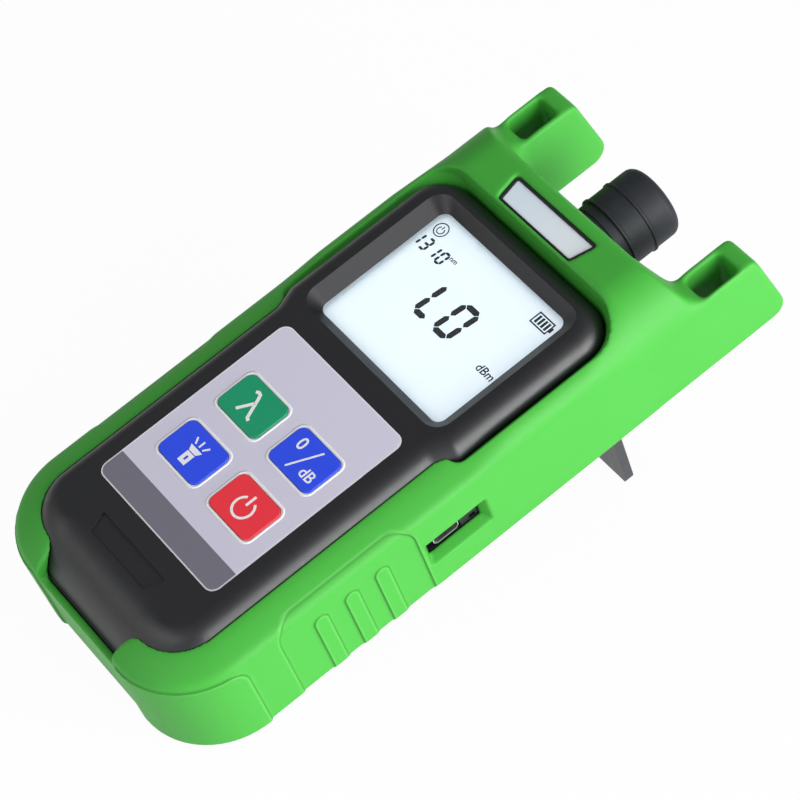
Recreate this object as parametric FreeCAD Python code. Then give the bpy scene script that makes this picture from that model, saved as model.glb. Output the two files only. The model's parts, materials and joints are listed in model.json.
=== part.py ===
"""Handheld optical power meter in a moulded silicone boot, standing on its kickstand.

Everything is modelled in the meter's own frame first:
    x  across the meter, 0 on its centre line
    y  along it, towards the optical port, 0 at the middle of the display
    z  out of its face, 0 on the face of the keypad
and the finished pieces are then leaned back until the foot of the boot and the tip of the
kickstand stand on z = 0 of the row frame.  Millimetres throughout.
"""
import FreeCAD, Part
import math
import os
from FreeCAD import Vector as V

# ---------------------------------------------------------------- driving dimensions (mm)
# front face of the housing
HEAD_HALF = 34.4            # half width beside the display
KEYS_HALF = 32.2            # half width beside the keypad
FACE_TOP = 27.3             # upper edge of the raised face
FACE_BOTTOM = -110.1        # lower edge of the raised face
NECK_TOP = -21.5            # the face narrows between these two places
NECK_BOTTOM = -27.0
FACE_TOP_R = 10.0           # corner radii of the face in plan
FACE_BOTTOM_R = 18.0
NECK_R = 3.0
FACE_EDGE_R = 5.5           # roll of the face's long edges
FACE_END_R = 14.0           # deeper roll of its bottom edge

# case behind the face
CASE_HALF = 36.6
CASE_TOP = 39.2
CASE_TOP_R = 6.0
CASE_BOTTOM_R = 17.0
LEDGE_Z = -10.5             # the boot's rim lies on this ledge
CASE_BACK = -30.5
CASE_EDGE_R = 2.5
PARTING_Z = -15.5           # front and rear shells meet here
WALL = 2.2
END_WALL = 2.8              # wall at the bottom end, behind its deep roll
FACE_WALL = 2.4             # wall of the keypad's face
KEYPAD_SIDE_WALL = 3.5      # walls of the bays under the face
DISPLAY_SIDE_WALL = 2.6
DISPLAY_TOP_WALL = 2.8
NECK_WEB = 0.5              # keypad bay ends this far below the neck
DISPLAY_BAY_GAP = 1.2       # display bay beyond the lens
BAY_R, BAY_TOP_R = 4.0, 2.0
HEAD_BLOCK_HALF = 30.0      # raised block under the boot's head band
HEAD_BLOCK_LOW = 28.9
HEAD_BLOCK_Z = -1.0
HEAD_BLOCK_R = 2.0
BACK_PAD_HALF = 28.2        # raised field of the back, seen through the boot
BACK_PAD_TOP = 27.7
BACK_PAD_BOTTOM = -83.7
BACK_PAD_Z = -33.0
BACK_PAD_R = 6.0
BACK_PAD_EDGE_R = 0.6
BACK_PAD_FIT = 0.3          # boot's rear window round the pad
INNER_BACK_Z = -28.3        # floor inside the rear shell

# boot
BOOT_SIDE_WALL = 3.4        # boot's side wall over the case
BOOT_HALF = CASE_HALF + BOOT_SIDE_WALL
BOOT_BOTTOM = -112.2
BOOT_END = 42.0             # end wall between the horns
BOOT_CREST = 40.3           # front edge of the head band
BOOT_BACK = -33.5
BOOT_FRONT = -2.5           # rim beside the keypad
BOOT_HEAD_FRONT = 2.5       # head band stands higher
BOOT_CORNER_R = 21.0
BOOT_EDGE_R = 5.5
BOOT_HEAD_EDGE_R = 14.8
BOOT_BACK_R = 1.5
HEAD_RISE_START = 14.0      # the rim starts to rise towards the head band
HEAD_RISE_END = 30.0
FIT = 0.15                  # boot over housing
RIM_FIT = 0.25              # boot's rim round the raised face
EAR_INNER = 16.2            # the rim is cut away between the two bottom ears
EAR_FOOT_R = 2.0
EAR_TIP_R = 3.0
EAR_TIP_Z = -2.5
EAR_CUT_Z = -11.0
EAR_CUT_TOP, EAR_CUT_LENGTH = 5.0, 15.0
FUNNEL_SIDE = 2.6           # bevel of the rim beside the display
FUNNEL_TOP = 1.3
FUNNEL_Z = -5.2
FUNNEL_RISE = 0.6           # bevel carried above the rim
FUNNEL_LOW_R, FUNNEL_HIGH_R = 2.0, 3.0
FUNNEL_SPREAD = 1.5

# horns with lanyard slots
HORN_INNER = 29.1
HORN_FACE_Z = -8.5
HORN_TIP_FRONT = 63.9
HORN_TIP_BACK = 69.3
HORN_ROOT_R = 6.0
HORN_BACK_SPARE = 0.5       # corner of the profile beyond the tip that its rounding takes away
HORN_TIP_BACK_R, HORN_TIP_FRONT_R = 4.5, 2.4
CREST_R, CREST_FOOT, CREST_FOOT_R = 1.6, 5.9, 3.5
END_BACK_R, END_FRONT_R, END_FRONT_DROP = 2.0, 1.0, 4.1
SLOT_X0, SLOT_X1 = 30.9, 38.3
SLOT_Y0, SLOT_Y1 = 48.3, 59.5
SLOT_R = 1.4
SLOT_BEVEL = 0.6            # bevel round each slot's front mouth

# raised and sunk fields on the boot's side walls
GRIP_Y0, GRIP_Y1 = -80.6, -40.9
GRIP_TOP_Z = -3.4
GRIP_DEPTH = 0.4
GRIP_R = 6.5
RIB_YS = (-69.3, -60.3, -51.4)
RIB_WIDTH = 4.0
RIB_TOP_Z = -11.4
EAR_PANEL_Y = -90.6
EAR_PANEL_Z = -8.0
EAR_PANEL_RAISE = 0.6
EAR_PANEL_R = 4.5
EAR_PANEL_INNER = 1.5       # panel starts this far outside the ear's inner side

# display
DISPLAY_W, DISPLAY_H, DISPLAY_R = 47.9, 39.5, 2.5      # opening of the bezel
BEZEL_W, BEZEL_H, BEZEL_R = 55.6, 45.0, 5.0            # recess at the face
BEZEL_SHIFT = 0.2
BEZEL_OVER = 0.05           # recess carried just above the face
GLASS_Z = -3.1
LENS_T = 1.4
LENS_MARGIN = 1.5
CELL_GAP = 0.3
CELL_T = 2.2
CELL_INSET = 0.4            # cell and backlight inside the lens's outline
LENS_R, CELL_R, BACKLIGHT_R = 0.9, 1.0, 0.8
LENS_SEAT_R = 1.0
CONNECTOR_W, CONNECTOR_END, CONNECTOR_GAP = 2.2, 2.0, 0.4

# keypad
LABEL_W, LABEL_TOP, LABEL_BOTTOM, LABEL_R = 48.4, -28.4, -85.9, 2.8
LABEL_T = 0.5
SEAT_FIT = 0.1              # label and strip in their seats
KEY_W, KEY_H, KEY_R = 16.0, 11.4, 2.0
KEY_X = 10.7
KEY_ROWS = (-48.5, -66.3)
KEY_PROUD = 0.3
KEY_EDGE_R = 0.2
KEY_PLAY = 0.1              # flange below the face
KEY_CLEAR = 0.15
KEY_TRAVEL = 0.4
KEY_FLANGE = 1.0            # flange beyond the key, below the face
KEY_FLANGE_T = 1.0
KEY_STEM_R = 2.5
DOME_R, DOME_H = 3.5, 0.4
DOME_GAP = 0.1

# small recessed plate field at the foot of the face
PLATE_TOP, PLATE_BOTTOM = -91.3, -96.6
PLATE_TOP_HALF, PLATE_BOTTOM_HALF = 13.2, 11.1
PLATE_DEPTH = 0.5
PLATE_R = 0.4

# name label in the boot's window
BOSS_Y0, BOSS_Y1 = 29.7, 37.0
BOSS_LOW_HALF, BOSS_TOP_HALF = 13.7, 15.4
BOSS_Z = 1.7
BOSS_R = 0.9
STRIP_Y0, STRIP_Y1 = 30.25, 36.4
STRIP_LOW_HALF, STRIP_TOP_HALF = 13.05, 14.5
STRIP_T = 0.3
STRIP_SINK = 0.7
STRIP_R = 0.4

# circuit board and what is on it
BOARD_TOP_Z = -11.0
BOARD_T = 1.6
BOARD_HALF = 27.5
BOARD_Y0, BOARD_Y1 = -89.8, 23.5
BOARD_R, BOARD_ROOM, BOARD_END_ROOM = 2.0, 0.5, 2.0
BOARD_POST_R, BOARD_SCREW_R = 2.6, 1.1
BOARD_SCREW_X, BOARD_SCREW_YS = 23.5, (-82.0, -27.0)
CHIP_SIZE, CHIP_T, CHIP_Y, CHIP_EDGE_R = 12.0, 1.4, 4.0, 0.3

# case screws
CASE_SCREW_X, CASE_SCREW_YS = 24.5, (-97.0, 33.0)
CASE_POST_R, CASE_POST_OVER = 3.2, 2.0
CASE_SCREW_R, CASE_HEAD_R, CASE_HEAD_T = 1.25, 2.4, 1.8
SCREW_FIT = 0.12
SCREW_GRIP = 0.02           # pilot hole over the screw it holds
PILOT_SPARE = 0.5           # pilot hole beyond the screw's tip
POST_ROOT = 0.5             # post sunk into the floor it stands on
CROSS_REACH = 0.62          # cross recess as a share of the head's radius
SLOT_HALF_W, SLOT_DEEP = 0.28, 0.8     # cross recess of a screw head
BOARD_HEAD_R, BOARD_HEAD_T = 2.0, 1.3
BOARD_SCREW_REACH = 3.5
CASE_SCREW_TIP_Z = -11.5
CASE_SEAT_Z = -28.1

# charging socket in the right wall
SOCKET_Y, SOCKET_TOP_Z = -32.5, -19.75
SOCKET_W, SOCKET_H, SOCKET_DEPTH = 7.5, 2.6, 5.5
SOCKET_SHELL_T = 0.25
SOCKET_BEVEL, SOCKET_BASE_T = 0.9, 1.5
SOCKET_CORNER_R, SOCKET_BEVEL_R = 0.2, 0.3
TONGUE_W, TONGUE_T, TONGUE_GAP, TONGUE_BACK = 4.5, 0.55, 0.55, 0.6
SOCKET_PROUD = 0.4          # mouth of the socket beyond the case
SOCKET_MOUTH_X = CASE_HALF + SOCKET_PROUD
SOCKET_CUT_Y0, SOCKET_CUT_Y1 = -38.0, -28.2
SOCKET_CUT_Z0, SOCKET_CUT_Z1 = -23.4, -18.6
NOTCH_Y0, NOTCH_Y1 = -25.6, -23.8      # small blind notch beside the socket
NOTCH_Z0, NOTCH_Z1, NOTCH_DEPTH = -23.2, -21.9, 1.2
POCKET_OUT_Y0, POCKET_OUT_Y1 = -39.8, -21.2
POCKET_OUT_Z0, POCKET_OUT_Z1 = -24.6, -15.6
POCKET_IN_Y0, POCKET_IN_Y1 = -38.4, -23.0
POCKET_IN_Z0, POCKET_IN_Z1 = -23.5, -17.0
POCKET_INNER_X, POCKET_OVERRUN = 0.7, 2.0
CONTACTS, CONTACT_PITCH = 5, 0.65
CONTACT_W, CONTACT_T, CONTACT_END = 0.3, 0.12, 0.3
CHARGE_BOARD_T = 1.0
CHARGE_BOARD_GAP, CHARGE_BOARD_LENGTH = 0.3, 15.1     # gap to the wall of the case
CHARGE_BOARD_X1 = CASE_HALF - WALL - CHARGE_BOARD_GAP
CHARGE_BOARD_X0 = CHARGE_BOARD_X1 - CHARGE_BOARD_LENGTH
CHARGE_BOARD_HALF = 9.0
CHARGE_POST_IN, CHARGE_POST_OFF = 3.5, 6.0
CHARGE_POST_X = CHARGE_BOARD_X0 + CHARGE_POST_IN
CHARGE_POST_R = 2.2
CHARGE_SCREW_R, CHARGE_HEAD_R, CHARGE_HEAD_T = 0.8, 1.5, 1.0
CHARGE_SCREW_REACH = 5.0

# battery
BATTERY_X0, BATTERY_X1 = -30.0, 16.0
BATTERY_Y0, BATTERY_Y1 = -88.0, -30.0
BATTERY_Z0, BATTERY_Z1 = INNER_BACK_Z, -17.9
BATTERY_R = 3.0

# optical port
PORT_Z = -19.3
PORT_HOLE_R = 10.7          # hole through the boot
FLANGE_R, FLANGE_T = 9.0, 1.2
SLEEVE_R, SLEEVE_LENGTH = 6.0, 12.5
SLEEVE_BORE_R = 3.4
SLEEVE_FLOOR_T, SLEEVE_EDGE_R = 3.0, 0.5
KEYWAY_HALF, KEYWAY_LENGTH, KEYWAY_ROOT = 1.1, 3.0, 0.5
FERRULE_R, FERRULE_BORE_R, FERRULE_LENGTH = 2.1, 1.26, 10.0
DETECTOR_R, DETECTOR_LENGTH, DETECTOR_BASE_R = 2.35, 2.0, 2.8
DETECTOR_BASE_T = 0.8
LEAD_R, LEAD_LENGTH, LEAD_CIRCLE = 0.22, 4.0, 1.27
LEAD_BITE = 0.1             # lead stops this short of the wall's face, inside its base
ADAPTER_SCREW_CIRCLE, ADAPTER_SCREW_R = 7.45, 0.6
ADAPTER_HEAD_R, ADAPTER_HEAD_T = 1.05, 0.45
ADAPTER_SCREW_REACH = 3.4

# dust cap
CAP_START, CAP_END = 41.0, 63.4
CAP_RING_YS = (48.6, 55.2)
CAP_FOOT_R, CAP_BODY_R, CAP_RING_R = 9.5, 9.85, 10.2
CAP_RING_W = 1.0
CAP_END_R = 2.6
CAP_BORE_R = 6.3
CAP_BORE_END = 57.0
CAP_GROOVES = (43.6, 45.4)
GROOVE_HALF, GROOVE_DEEP = 0.25, 0.3
RING_RISE, RING_FALL = 0.1, 0.3

# torch lamp
TORCH_X, TORCH_R = -17.8, 2.5
TORCH_HOLE_R = 3.2
TORCH_RIM_R, TORCH_RIM_T = 2.9, 1.0

# kickstand
STAND_HALF = 24.0
STAND_T = 2.5
STAND_OUTER_Y = 23.3        # upper face of the open stand
STAND_OFFSET = 1.7          # that face from the hinge axis
STAND_REACH = 46.1          # hinge axis to tip
STAND_TIP_R = 0.9
STAND_HEAD, STAND_HEAD_R = 0.6, 0.4     # blade above the hinge axis
STAND_CORNER_R = 3.0
PULL_LOW, PULL_HIGH = 7.0, 10.0         # pull recess above the tip
PULL_SLOPE, PULL_SINK, PULL_FLOOR_R = 1.4, 0.7, 0.3
STAND_BARREL_R = 1.6
STAND_STOP = 0.1            # open stand to the edge that stops it
HINGE_Z = -31.2
PIN_R = 0.8
PIN_FIT = 0.05
PIN_GRIP = 0.02             # hole over the pin in the housing
PIN_SEAT = 2.0              # pin in each wall of the pocket
STAND_GAP = 0.3
POCKET_SINK_Z = -30.1
TROUGH_Z = -28.9
SCOOP_HALF, SCOOP_LENGTH, SCOOP_R = 8.0, 7.0, 3.0
POCKET_END_GAP, POCKET_R = 0.6, 1.0
TROUGH_GAP = 0.5
TROUGH_FLOOR_T, TROUGH_FLOOR_HALF = 2.0, 27.0
TROUGH_FLOOR_LOW, TROUGH_FLOOR_HIGH = 5.0, 4.5
PIN_SHORT = 0.1

BIG = 200.0                 # longer than anything, for cutting tools

# ---------------------------------------------------------------- drawing helpers


def arc_corner(before, corner, after, radius):
    """Tangent points and middle point of a rounded corner in the plane."""
    a = (before - corner).normalize()
    b = (after - corner).normalize()
    half = a.getAngle(b) / 2.0
    reach = radius / math.tan(half)
    bisector = (a + b).normalize()
    middle = corner + bisector * (radius / math.sin(half) - radius)
    return corner + a * reach, middle, corner + b * reach


def rounded_wire(points):
    """Closed wire through (u, v, radius) corners, drawn in x and y."""
    corners = [V(u, v, 0) for u, v, _ in points]
    edges = []
    first = last = None
    for i, (_, _, radius) in enumerate(points):
        here = corners[i]
        if radius > 0:
            after = corners[(i + 1) % len(points)]
            start, middle, end = arc_corner(corners[i - 1], here, after, radius)
        else:
            start = middle = end = here
        if last is not None and (start - last).Length > 1e-6:
            edges.append(Part.makeLine(last, start))
        if radius > 0:
            edges.append(Part.Arc(start, middle, end).toShape())
        first = first or start
        last = end
    if (first - last).Length > 1e-6:
        edges.append(Part.makeLine(last, first))
    return Part.Wire(edges)


def plate(points, z0, z1):
    """Prism of a rounded outline drawn in x and y, between two heights."""
    wire = rounded_wire(points)
    wire.translate(V(0, 0, z0))
    return Part.Face(wire).extrude(V(0, 0, z1 - z0))


def along_x(points, x0, x1):
    """Prism of a rounded profile drawn in (y, z), between two places on x."""
    matrix = FreeCAD.Matrix(0, 0, 1, x0, 1, 0, 0, 0, 0, 1, 0, 0, 0, 0, 0, 1)
    return Part.Face(turned(rounded_wire(points), matrix)).extrude(V(x1 - x0, 0, 0))


def along_y(points, y0, y1):
    """Prism of a rounded profile drawn in (x, z), between two places on y."""
    return Part.Face(section(points, y0)).extrude(V(0, y1 - y0, 0))


def section(points, y):
    """Closed wire of a rounded profile drawn in (x, z), standing at y."""
    matrix = FreeCAD.Matrix(1, 0, 0, 0, 0, 0, -1, y, 0, 1, 0, 0, 0, 0, 0, 1)
    return turned(rounded_wire(points), matrix)


def turned(shape, matrix):
    """Copy of a shape placed by a rigid matrix."""
    copy = shape.copy()
    copy.Placement = FreeCAD.Placement(matrix)
    return copy


def rect(half_w, y0, y1, radius=0.0, top_radius=None):
    """Outline symmetric about x = 0, as corners for plate()."""
    top = radius if top_radius is None else top_radius
    return [(-half_w, y0, radius), (half_w, y0, radius), (half_w, y1, top), (-half_w, y1, top)]


def tapered(low_half, top_half, y0, y1, radius, grow=0.0):
    """Outline symmetric about x = 0, with another half width at its top, as corners for plate()."""
    return [(-low_half - grow, y0 - grow, radius), (low_half + grow, y0 - grow, radius),
            (top_half + grow, y1 + grow, radius), (-top_half - grow, y1 + grow, radius)]


def box(x0, x1, y0, y1, z0, z1):
    """Box between two places on each axis."""
    return Part.makeBox(x1 - x0, y1 - y0, z1 - z0, V(x0, y0, z0))


def rod(radius, start, end):
    """Cylinder between two points."""
    a, b = V(*start), V(*end)
    return Part.makeCylinder(radius, (b - a).Length, a, b - a)


def both_sides(shape):
    """The shape and its mirror image across x = 0."""
    return [shape, shape.mirror(V(0, 0, 0), V(1, 0, 0))]


def fillet(shape, choose, radii):
    """Round the edges that choose() accepts, each with the two radii that radii() gives."""
    document = FreeCAD.newDocument("round")
    base = document.addObject("Part::Feature", "base")
    base.Shape = shape
    feature = document.addObject("Part::Fillet", "fillet")
    feature.Base = base
    feature.Edges = [(i + 1,) + tuple(radii(e)) for i, e in enumerate(shape.Edges) if choose(e)]
    document.recompute()
    result = feature.Shape.copy()
    FreeCAD.closeDocument(document.Name)
    return result


def on_plane(edge, axis, value, tolerance=1e-4):
    """True if the whole edge lies in the plane axis = value."""
    low = getattr(edge.BoundBox, axis + "Min")
    high = getattr(edge.BoundBox, axis + "Max")
    return abs(low - value) < tolerance and abs(high - value) < tolerance


# ---------------------------------------------------------------- housing envelope


def face_outline(grow=0.0):
    """Plan of the raised face: wide beside the display, narrower beside the keypad."""
    head, keys = HEAD_HALF + grow, KEYS_HALF + grow
    right = [(keys, FACE_BOTTOM - grow, FACE_BOTTOM_R + grow), (keys, NECK_BOTTOM, NECK_R + grow),
             (head, NECK_TOP, NECK_R), (head, FACE_TOP + grow, FACE_TOP_R + grow)]
    left = [(-x, y, r) for x, y, r in reversed(right)]
    return right + left


def face_roll(edge):
    """Roll of the face's edges: small on the sides, deeper round the bottom end."""
    def radius(vertex):
        return FACE_END_R if vertex.Point.y < FACE_BOTTOM + 1.0 else FACE_EDGE_R
    return radius(edge.Vertexes[0]), radius(edge.Vertexes[-1])


def raised_face(grow=0.0):
    """The face that stands up from the ledge, with its edges rolled over."""
    block = plate(face_outline(grow), PARTING_Z, grow)
    return fillet(block, lambda e: on_plane(e, "Z", grow), lambda e: [r + grow for r in face_roll(e)])


def case_block(grow=0.0):
    """The wider body behind the face, between the ledge and the back."""
    outline = rect(CASE_HALF + grow, FACE_BOTTOM - grow, CASE_TOP + grow,
                   CASE_BOTTOM_R + grow, CASE_TOP_R + grow)
    block = plate(outline, CASE_BACK - grow, LEDGE_Z + grow)
    return fillet(block, lambda e: on_plane(e, "Z", CASE_BACK - grow),
                  lambda e: (CASE_EDGE_R + grow, CASE_EDGE_R + grow))


def head_block(grow=0.0):
    """Raised block under the head band of the boot."""
    return plate(rect(HEAD_BLOCK_HALF + grow, HEAD_BLOCK_LOW - grow, CASE_TOP + grow, HEAD_BLOCK_R),
                 LEDGE_Z - WALL, HEAD_BLOCK_Z + grow)


def label_boss(grow=0.0, top=BOSS_Z):
    """Trapezoid boss that carries the name label up into the boot's window."""
    outline = tapered(BOSS_LOW_HALF, BOSS_TOP_HALF, BOSS_Y0, BOSS_Y1, BOSS_R, grow)
    return plate(outline, HEAD_BLOCK_Z - WALL, top)


def back_pad(grow=0.0, back=BACK_PAD_Z):
    """Field of the back that fills the boot's rear window."""
    outline = rect(BACK_PAD_HALF + grow, BACK_PAD_BOTTOM - grow, BACK_PAD_TOP + grow, BACK_PAD_R + grow)
    return plate(outline, back, CASE_BACK + WALL)


# ---------------------------------------------------------------- front housing


def funnel():
    """Sloped recess of the face, down to the opening over the display."""
    low = rounded_wire(rect(DISPLAY_W / 2, -DISPLAY_H / 2, DISPLAY_H / 2, DISPLAY_R))
    high = rounded_wire(rect(BEZEL_W / 2, BEZEL_SHIFT - BEZEL_H / 2, BEZEL_SHIFT + BEZEL_H / 2, BEZEL_R))
    low.translate(V(0, 0, GLASS_Z))
    high.translate(V(0, 0, BEZEL_OVER))
    return Part.makeLoft([low, high], True, True)


def key_places():
    """Centre of each key, by name."""
    return {"wavelength_key": (-KEY_X, KEY_ROWS[0]), "reference_key": (KEY_X, KEY_ROWS[0]),
            "lamp_key": (-KEY_X, KEY_ROWS[1]), "power_key": (KEY_X, KEY_ROWS[1])}


def key_outline(centre, grow=0.0):
    x, y = centre
    w, h, r = KEY_W / 2 + grow, KEY_H / 2 + grow, KEY_R + grow
    return [(x - w, y - h, r), (x + w, y - h, r), (x + w, y + h, r), (x - w, y + h, r)]


def label_outline(grow=0.0):
    return rect(LABEL_W / 2 + grow, LABEL_BOTTOM - grow, LABEL_TOP + grow, LABEL_R)


def strip_outline(grow=0.0):
    return tapered(STRIP_LOW_HALF, STRIP_TOP_HALF, STRIP_Y0, STRIP_Y1, STRIP_R, grow)


def case_room(z0, z1):
    """Room inside the case, between two heights."""
    outline = rect(CASE_HALF - WALL, FACE_BOTTOM + END_WALL, CASE_TOP - WALL,
                   CASE_BOTTOM_R - WALL, CASE_TOP_R - WALL)
    return plate(outline, z0, z1)


def case_screw_places():
    return [(side * CASE_SCREW_X, y) for side in (-1, 1) for y in CASE_SCREW_YS]


def board_screw_places():
    return [(side * BOARD_SCREW_X, y) for side in (-1, 1) for y in BOARD_SCREW_YS]


def charge_screw_places():
    return [(CHARGE_POST_X, SOCKET_Y + side * CHARGE_POST_OFF) for side in (-1, 1)]


def adapter_screw_places():
    """The four screws of the adapter flange, as (x, z)."""
    reach = ADAPTER_SCREW_CIRCLE * math.sqrt(0.5)
    return [(sx * reach, PORT_Z + sz * reach) for sx in (-1, 1) for sz in (-1, 1)]


def adapter_screw_holes():
    return [rod(ADAPTER_SCREW_R + SCREW_GRIP, (x, CASE_TOP - 2 * WALL, z), (x, CASE_TOP + 1, z))
            for x, z in adapter_screw_places()]


def lens_size(margin=0.0):
    return DISPLAY_W + 2 * (LENS_MARGIN + margin), DISPLAY_H + 2 * (LENS_MARGIN + margin)


def make_front_housing():
    cell_floor = GLASS_Z - LENS_T - CELL_GAP - CELL_T
    shell = case_block().fuse([raised_face(), head_block(), label_boss()]).removeSplitter()
    shell = shell.cut(box(-BIG, BIG, -BIG, BIG, -BIG, PARTING_Z))
    # hollow: case, keypad bay, display bay, clearance for the board
    lens_w, lens_h = lens_size()
    keypad_room = plate(rect(KEYS_HALF - KEYPAD_SIDE_WALL, BOARD_Y0 - BOARD_END_ROOM,
                             NECK_BOTTOM - NECK_WEB, BAY_R, BAY_TOP_R), PARTING_Z, -FACE_WALL)
    display_room = plate(rect(HEAD_HALF - DISPLAY_SIDE_WALL, -lens_h / 2 - DISPLAY_BAY_GAP,
                              FACE_TOP - DISPLAY_TOP_WALL, BAY_R - 1.0), PARTING_Z, cell_floor + 1.0)
    board_room = plate(rect(BOARD_HALF + BOARD_ROOM, BOARD_Y0 - BOARD_ROOM, BOARD_Y1 + BOARD_ROOM, BOARD_R),
                       PARTING_Z - 1, BOARD_TOP_Z + BOARD_ROOM)
    shell = shell.cut([case_room(PARTING_Z - 1, LEDGE_Z - WALL), keypad_room, display_room, board_room])
    # display: sloped recess, opening and seat of the lens
    seat_w, seat_h = lens_size(KEY_CLEAR)
    recess = funnel()
    seat = plate(rect(seat_w / 2, -seat_h / 2, seat_h / 2, LENS_SEAT_R), cell_floor, GLASS_Z)
    # keypad: shallow seat of the overlay, openings of the keys; seats of the plate and the name label
    label_seat = plate(label_outline(SEAT_FIT), -LABEL_T, 1.0)
    openings = [plate(key_outline(c, KEY_CLEAR), PARTING_Z, 1.0) for c in key_places().values()]
    field = plate(tapered(PLATE_BOTTOM_HALF, PLATE_TOP_HALF, PLATE_BOTTOM, PLATE_TOP, PLATE_R),
                  -PLATE_DEPTH, 1.0)
    strip_seat = plate(strip_outline(SEAT_FIT), BOSS_Z - STRIP_SINK, BOSS_Z + 1)
    shell = shell.cut([recess, seat, label_seat, field, strip_seat] + openings)
    # posts for the case screws and the board
    posts, holes = [], []
    for x, y in case_screw_places():
        posts.append(rod(CASE_POST_R, (x, y, PARTING_Z), (x, y, LEDGE_Z + CASE_POST_OVER)))
        holes.append(rod(CASE_SCREW_R + SCREW_GRIP, (x, y, PARTING_Z - 1),
                         (x, y, CASE_SCREW_TIP_Z + PILOT_SPARE)))
    for x, y in board_screw_places():
        posts.append(rod(BOARD_POST_R, (x, y, BOARD_TOP_Z), (x, y, -WALL)))
        holes.append(rod(BOARD_SCREW_R + SCREW_GRIP, (x, y, BOARD_TOP_Z - 1),
                         (x, y, BOARD_TOP_Z + BOARD_SCREW_REACH + PILOT_SPARE)))
    holes += adapter_screw_holes()
    return shell.fuse(posts).removeSplitter().cut(holes)


def make_rear_housing():
    shell = case_block().cut(box(-BIG, BIG, -BIG, BIG, PARTING_Z, BIG))
    pad = fillet(back_pad(), lambda e: on_plane(e, "Z", BACK_PAD_Z),
                 lambda e: (BACK_PAD_EDGE_R, BACK_PAD_EDGE_R))
    shell = shell.fuse(pad).removeSplitter().cut(case_room(INNER_BACK_Z, BIG))
    foot_z = INNER_BACK_Z - POST_ROOT
    posts = [rod(CASE_POST_R, (x, y, foot_z), (x, y, PARTING_Z)) for x, y in case_screw_places()]
    posts += [rod(CHARGE_POST_R, (x, y, foot_z), (x, y, SOCKET_TOP_Z)) for x, y in charge_screw_places()]
    # floor under the hinge trough, so the wall stays whole there
    hinge_y = STAND_OUTER_Y - STAND_OFFSET
    trough_floor = box(-TROUGH_FLOOR_HALF, TROUGH_FLOOR_HALF, hinge_y - TROUGH_FLOOR_LOW,
                       hinge_y + TROUGH_FLOOR_HIGH, TROUGH_Z, TROUGH_Z + TROUGH_FLOOR_T)
    shell = shell.fuse(posts + [trough_floor]).removeSplitter()
    # pocket of the kickstand, trough of its hinge, scoop for a finger
    half = STAND_HALF + STAND_GAP
    top = STAND_OUTER_Y + STAND_STOP
    low = hinge_y - STAND_REACH - POCKET_END_GAP
    pocket = plate(rect(half, low, top, POCKET_R), -BIG, POCKET_SINK_Z)
    trough = box(-half, half, hinge_y - STAND_BARREL_R - TROUGH_GAP, top, -BIG, TROUGH_Z)
    scoop = plate(rect(SCOOP_HALF, low - SCOOP_LENGTH, low + 1.0, SCOOP_R, 0.0), -BIG, POCKET_SINK_Z)
    reach = half + PIN_SEAT
    pin_hole = rod(PIN_R + PIN_GRIP, (-reach, hinge_y, HINGE_Z), (reach, hinge_y, HINGE_Z))
    shell = shell.cut([pocket, trough, scoop, pin_hole])
    # screw holes, open to the back through the floor
    holes = []
    for x, y in case_screw_places():
        holes.append(rod(CASE_SCREW_R + SCREW_FIT, (x, y, -BIG), (x, y, PARTING_Z + 1)))
        holes.append(rod(CASE_HEAD_R + SCREW_FIT, (x, y, -BIG), (x, y, CASE_SEAT_Z)))
    for x, y in charge_screw_places():
        pilot_z = SOCKET_TOP_Z - CHARGE_SCREW_REACH
        holes.append(rod(CHARGE_SCREW_R + SCREW_GRIP, (x, y, pilot_z), (x, y, BIG)))
    # opening for the charging socket, and the notch beside it
    socket_cut = box(CASE_HALF - 2 * WALL, BIG, SOCKET_CUT_Y0, SOCKET_CUT_Y1,
                     SOCKET_CUT_Z0, SOCKET_CUT_Z1)
    notch = box(CASE_HALF - NOTCH_DEPTH, BIG, NOTCH_Y0, NOTCH_Y1, NOTCH_Z0, NOTCH_Z1)
    # holes of the optical port and the lamp through the head end
    port = rod(DETECTOR_R + SCREW_FIT, (0, CASE_TOP - 2 * WALL, PORT_Z), (0, BIG, PORT_Z))
    lamp = rod(TORCH_R + SCREW_FIT, (TORCH_X, CASE_TOP - 2 * WALL, PORT_Z), (TORCH_X, BIG, PORT_Z))
    return shell.cut(holes + adapter_screw_holes() + [socket_cut, notch, port, lamp])


# ---------------------------------------------------------------- boot


def boot_section(front, edge_r, grow=0.0):
    """Cross-section of the boot across its length."""
    half = BOOT_HALF + grow
    return [(-half, BOOT_BACK, BOOT_BACK_R), (half, BOOT_BACK, BOOT_BACK_R),
            (half, front, edge_r), (-half, front, edge_r)]


def boot_block(grow=0.0):
    """Lower part of the boot's outer form: a tray with rounded corners, rim and back edge."""
    outline = [(-BOOT_HALF - grow, BOOT_BOTTOM - grow, BOOT_CORNER_R + grow),
               (BOOT_HALF + grow, BOOT_BOTTOM - grow, BOOT_CORNER_R + grow),
               (BOOT_HALF + grow, HEAD_RISE_START, 0), (-BOOT_HALF - grow, HEAD_RISE_START, 0)]
    block = plate(outline, BOOT_BACK, BOOT_FRONT)

    def rim(edge):
        flat = on_plane(edge, "Z", BOOT_FRONT) or on_plane(edge, "Z", BOOT_BACK)
        return flat and not on_plane(edge, "Y", HEAD_RISE_START)

    def radii(edge):
        r = BOOT_EDGE_R if on_plane(edge, "Z", BOOT_FRONT) else BOOT_BACK_R
        return r, r
    return fillet(block, rim, radii)


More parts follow.
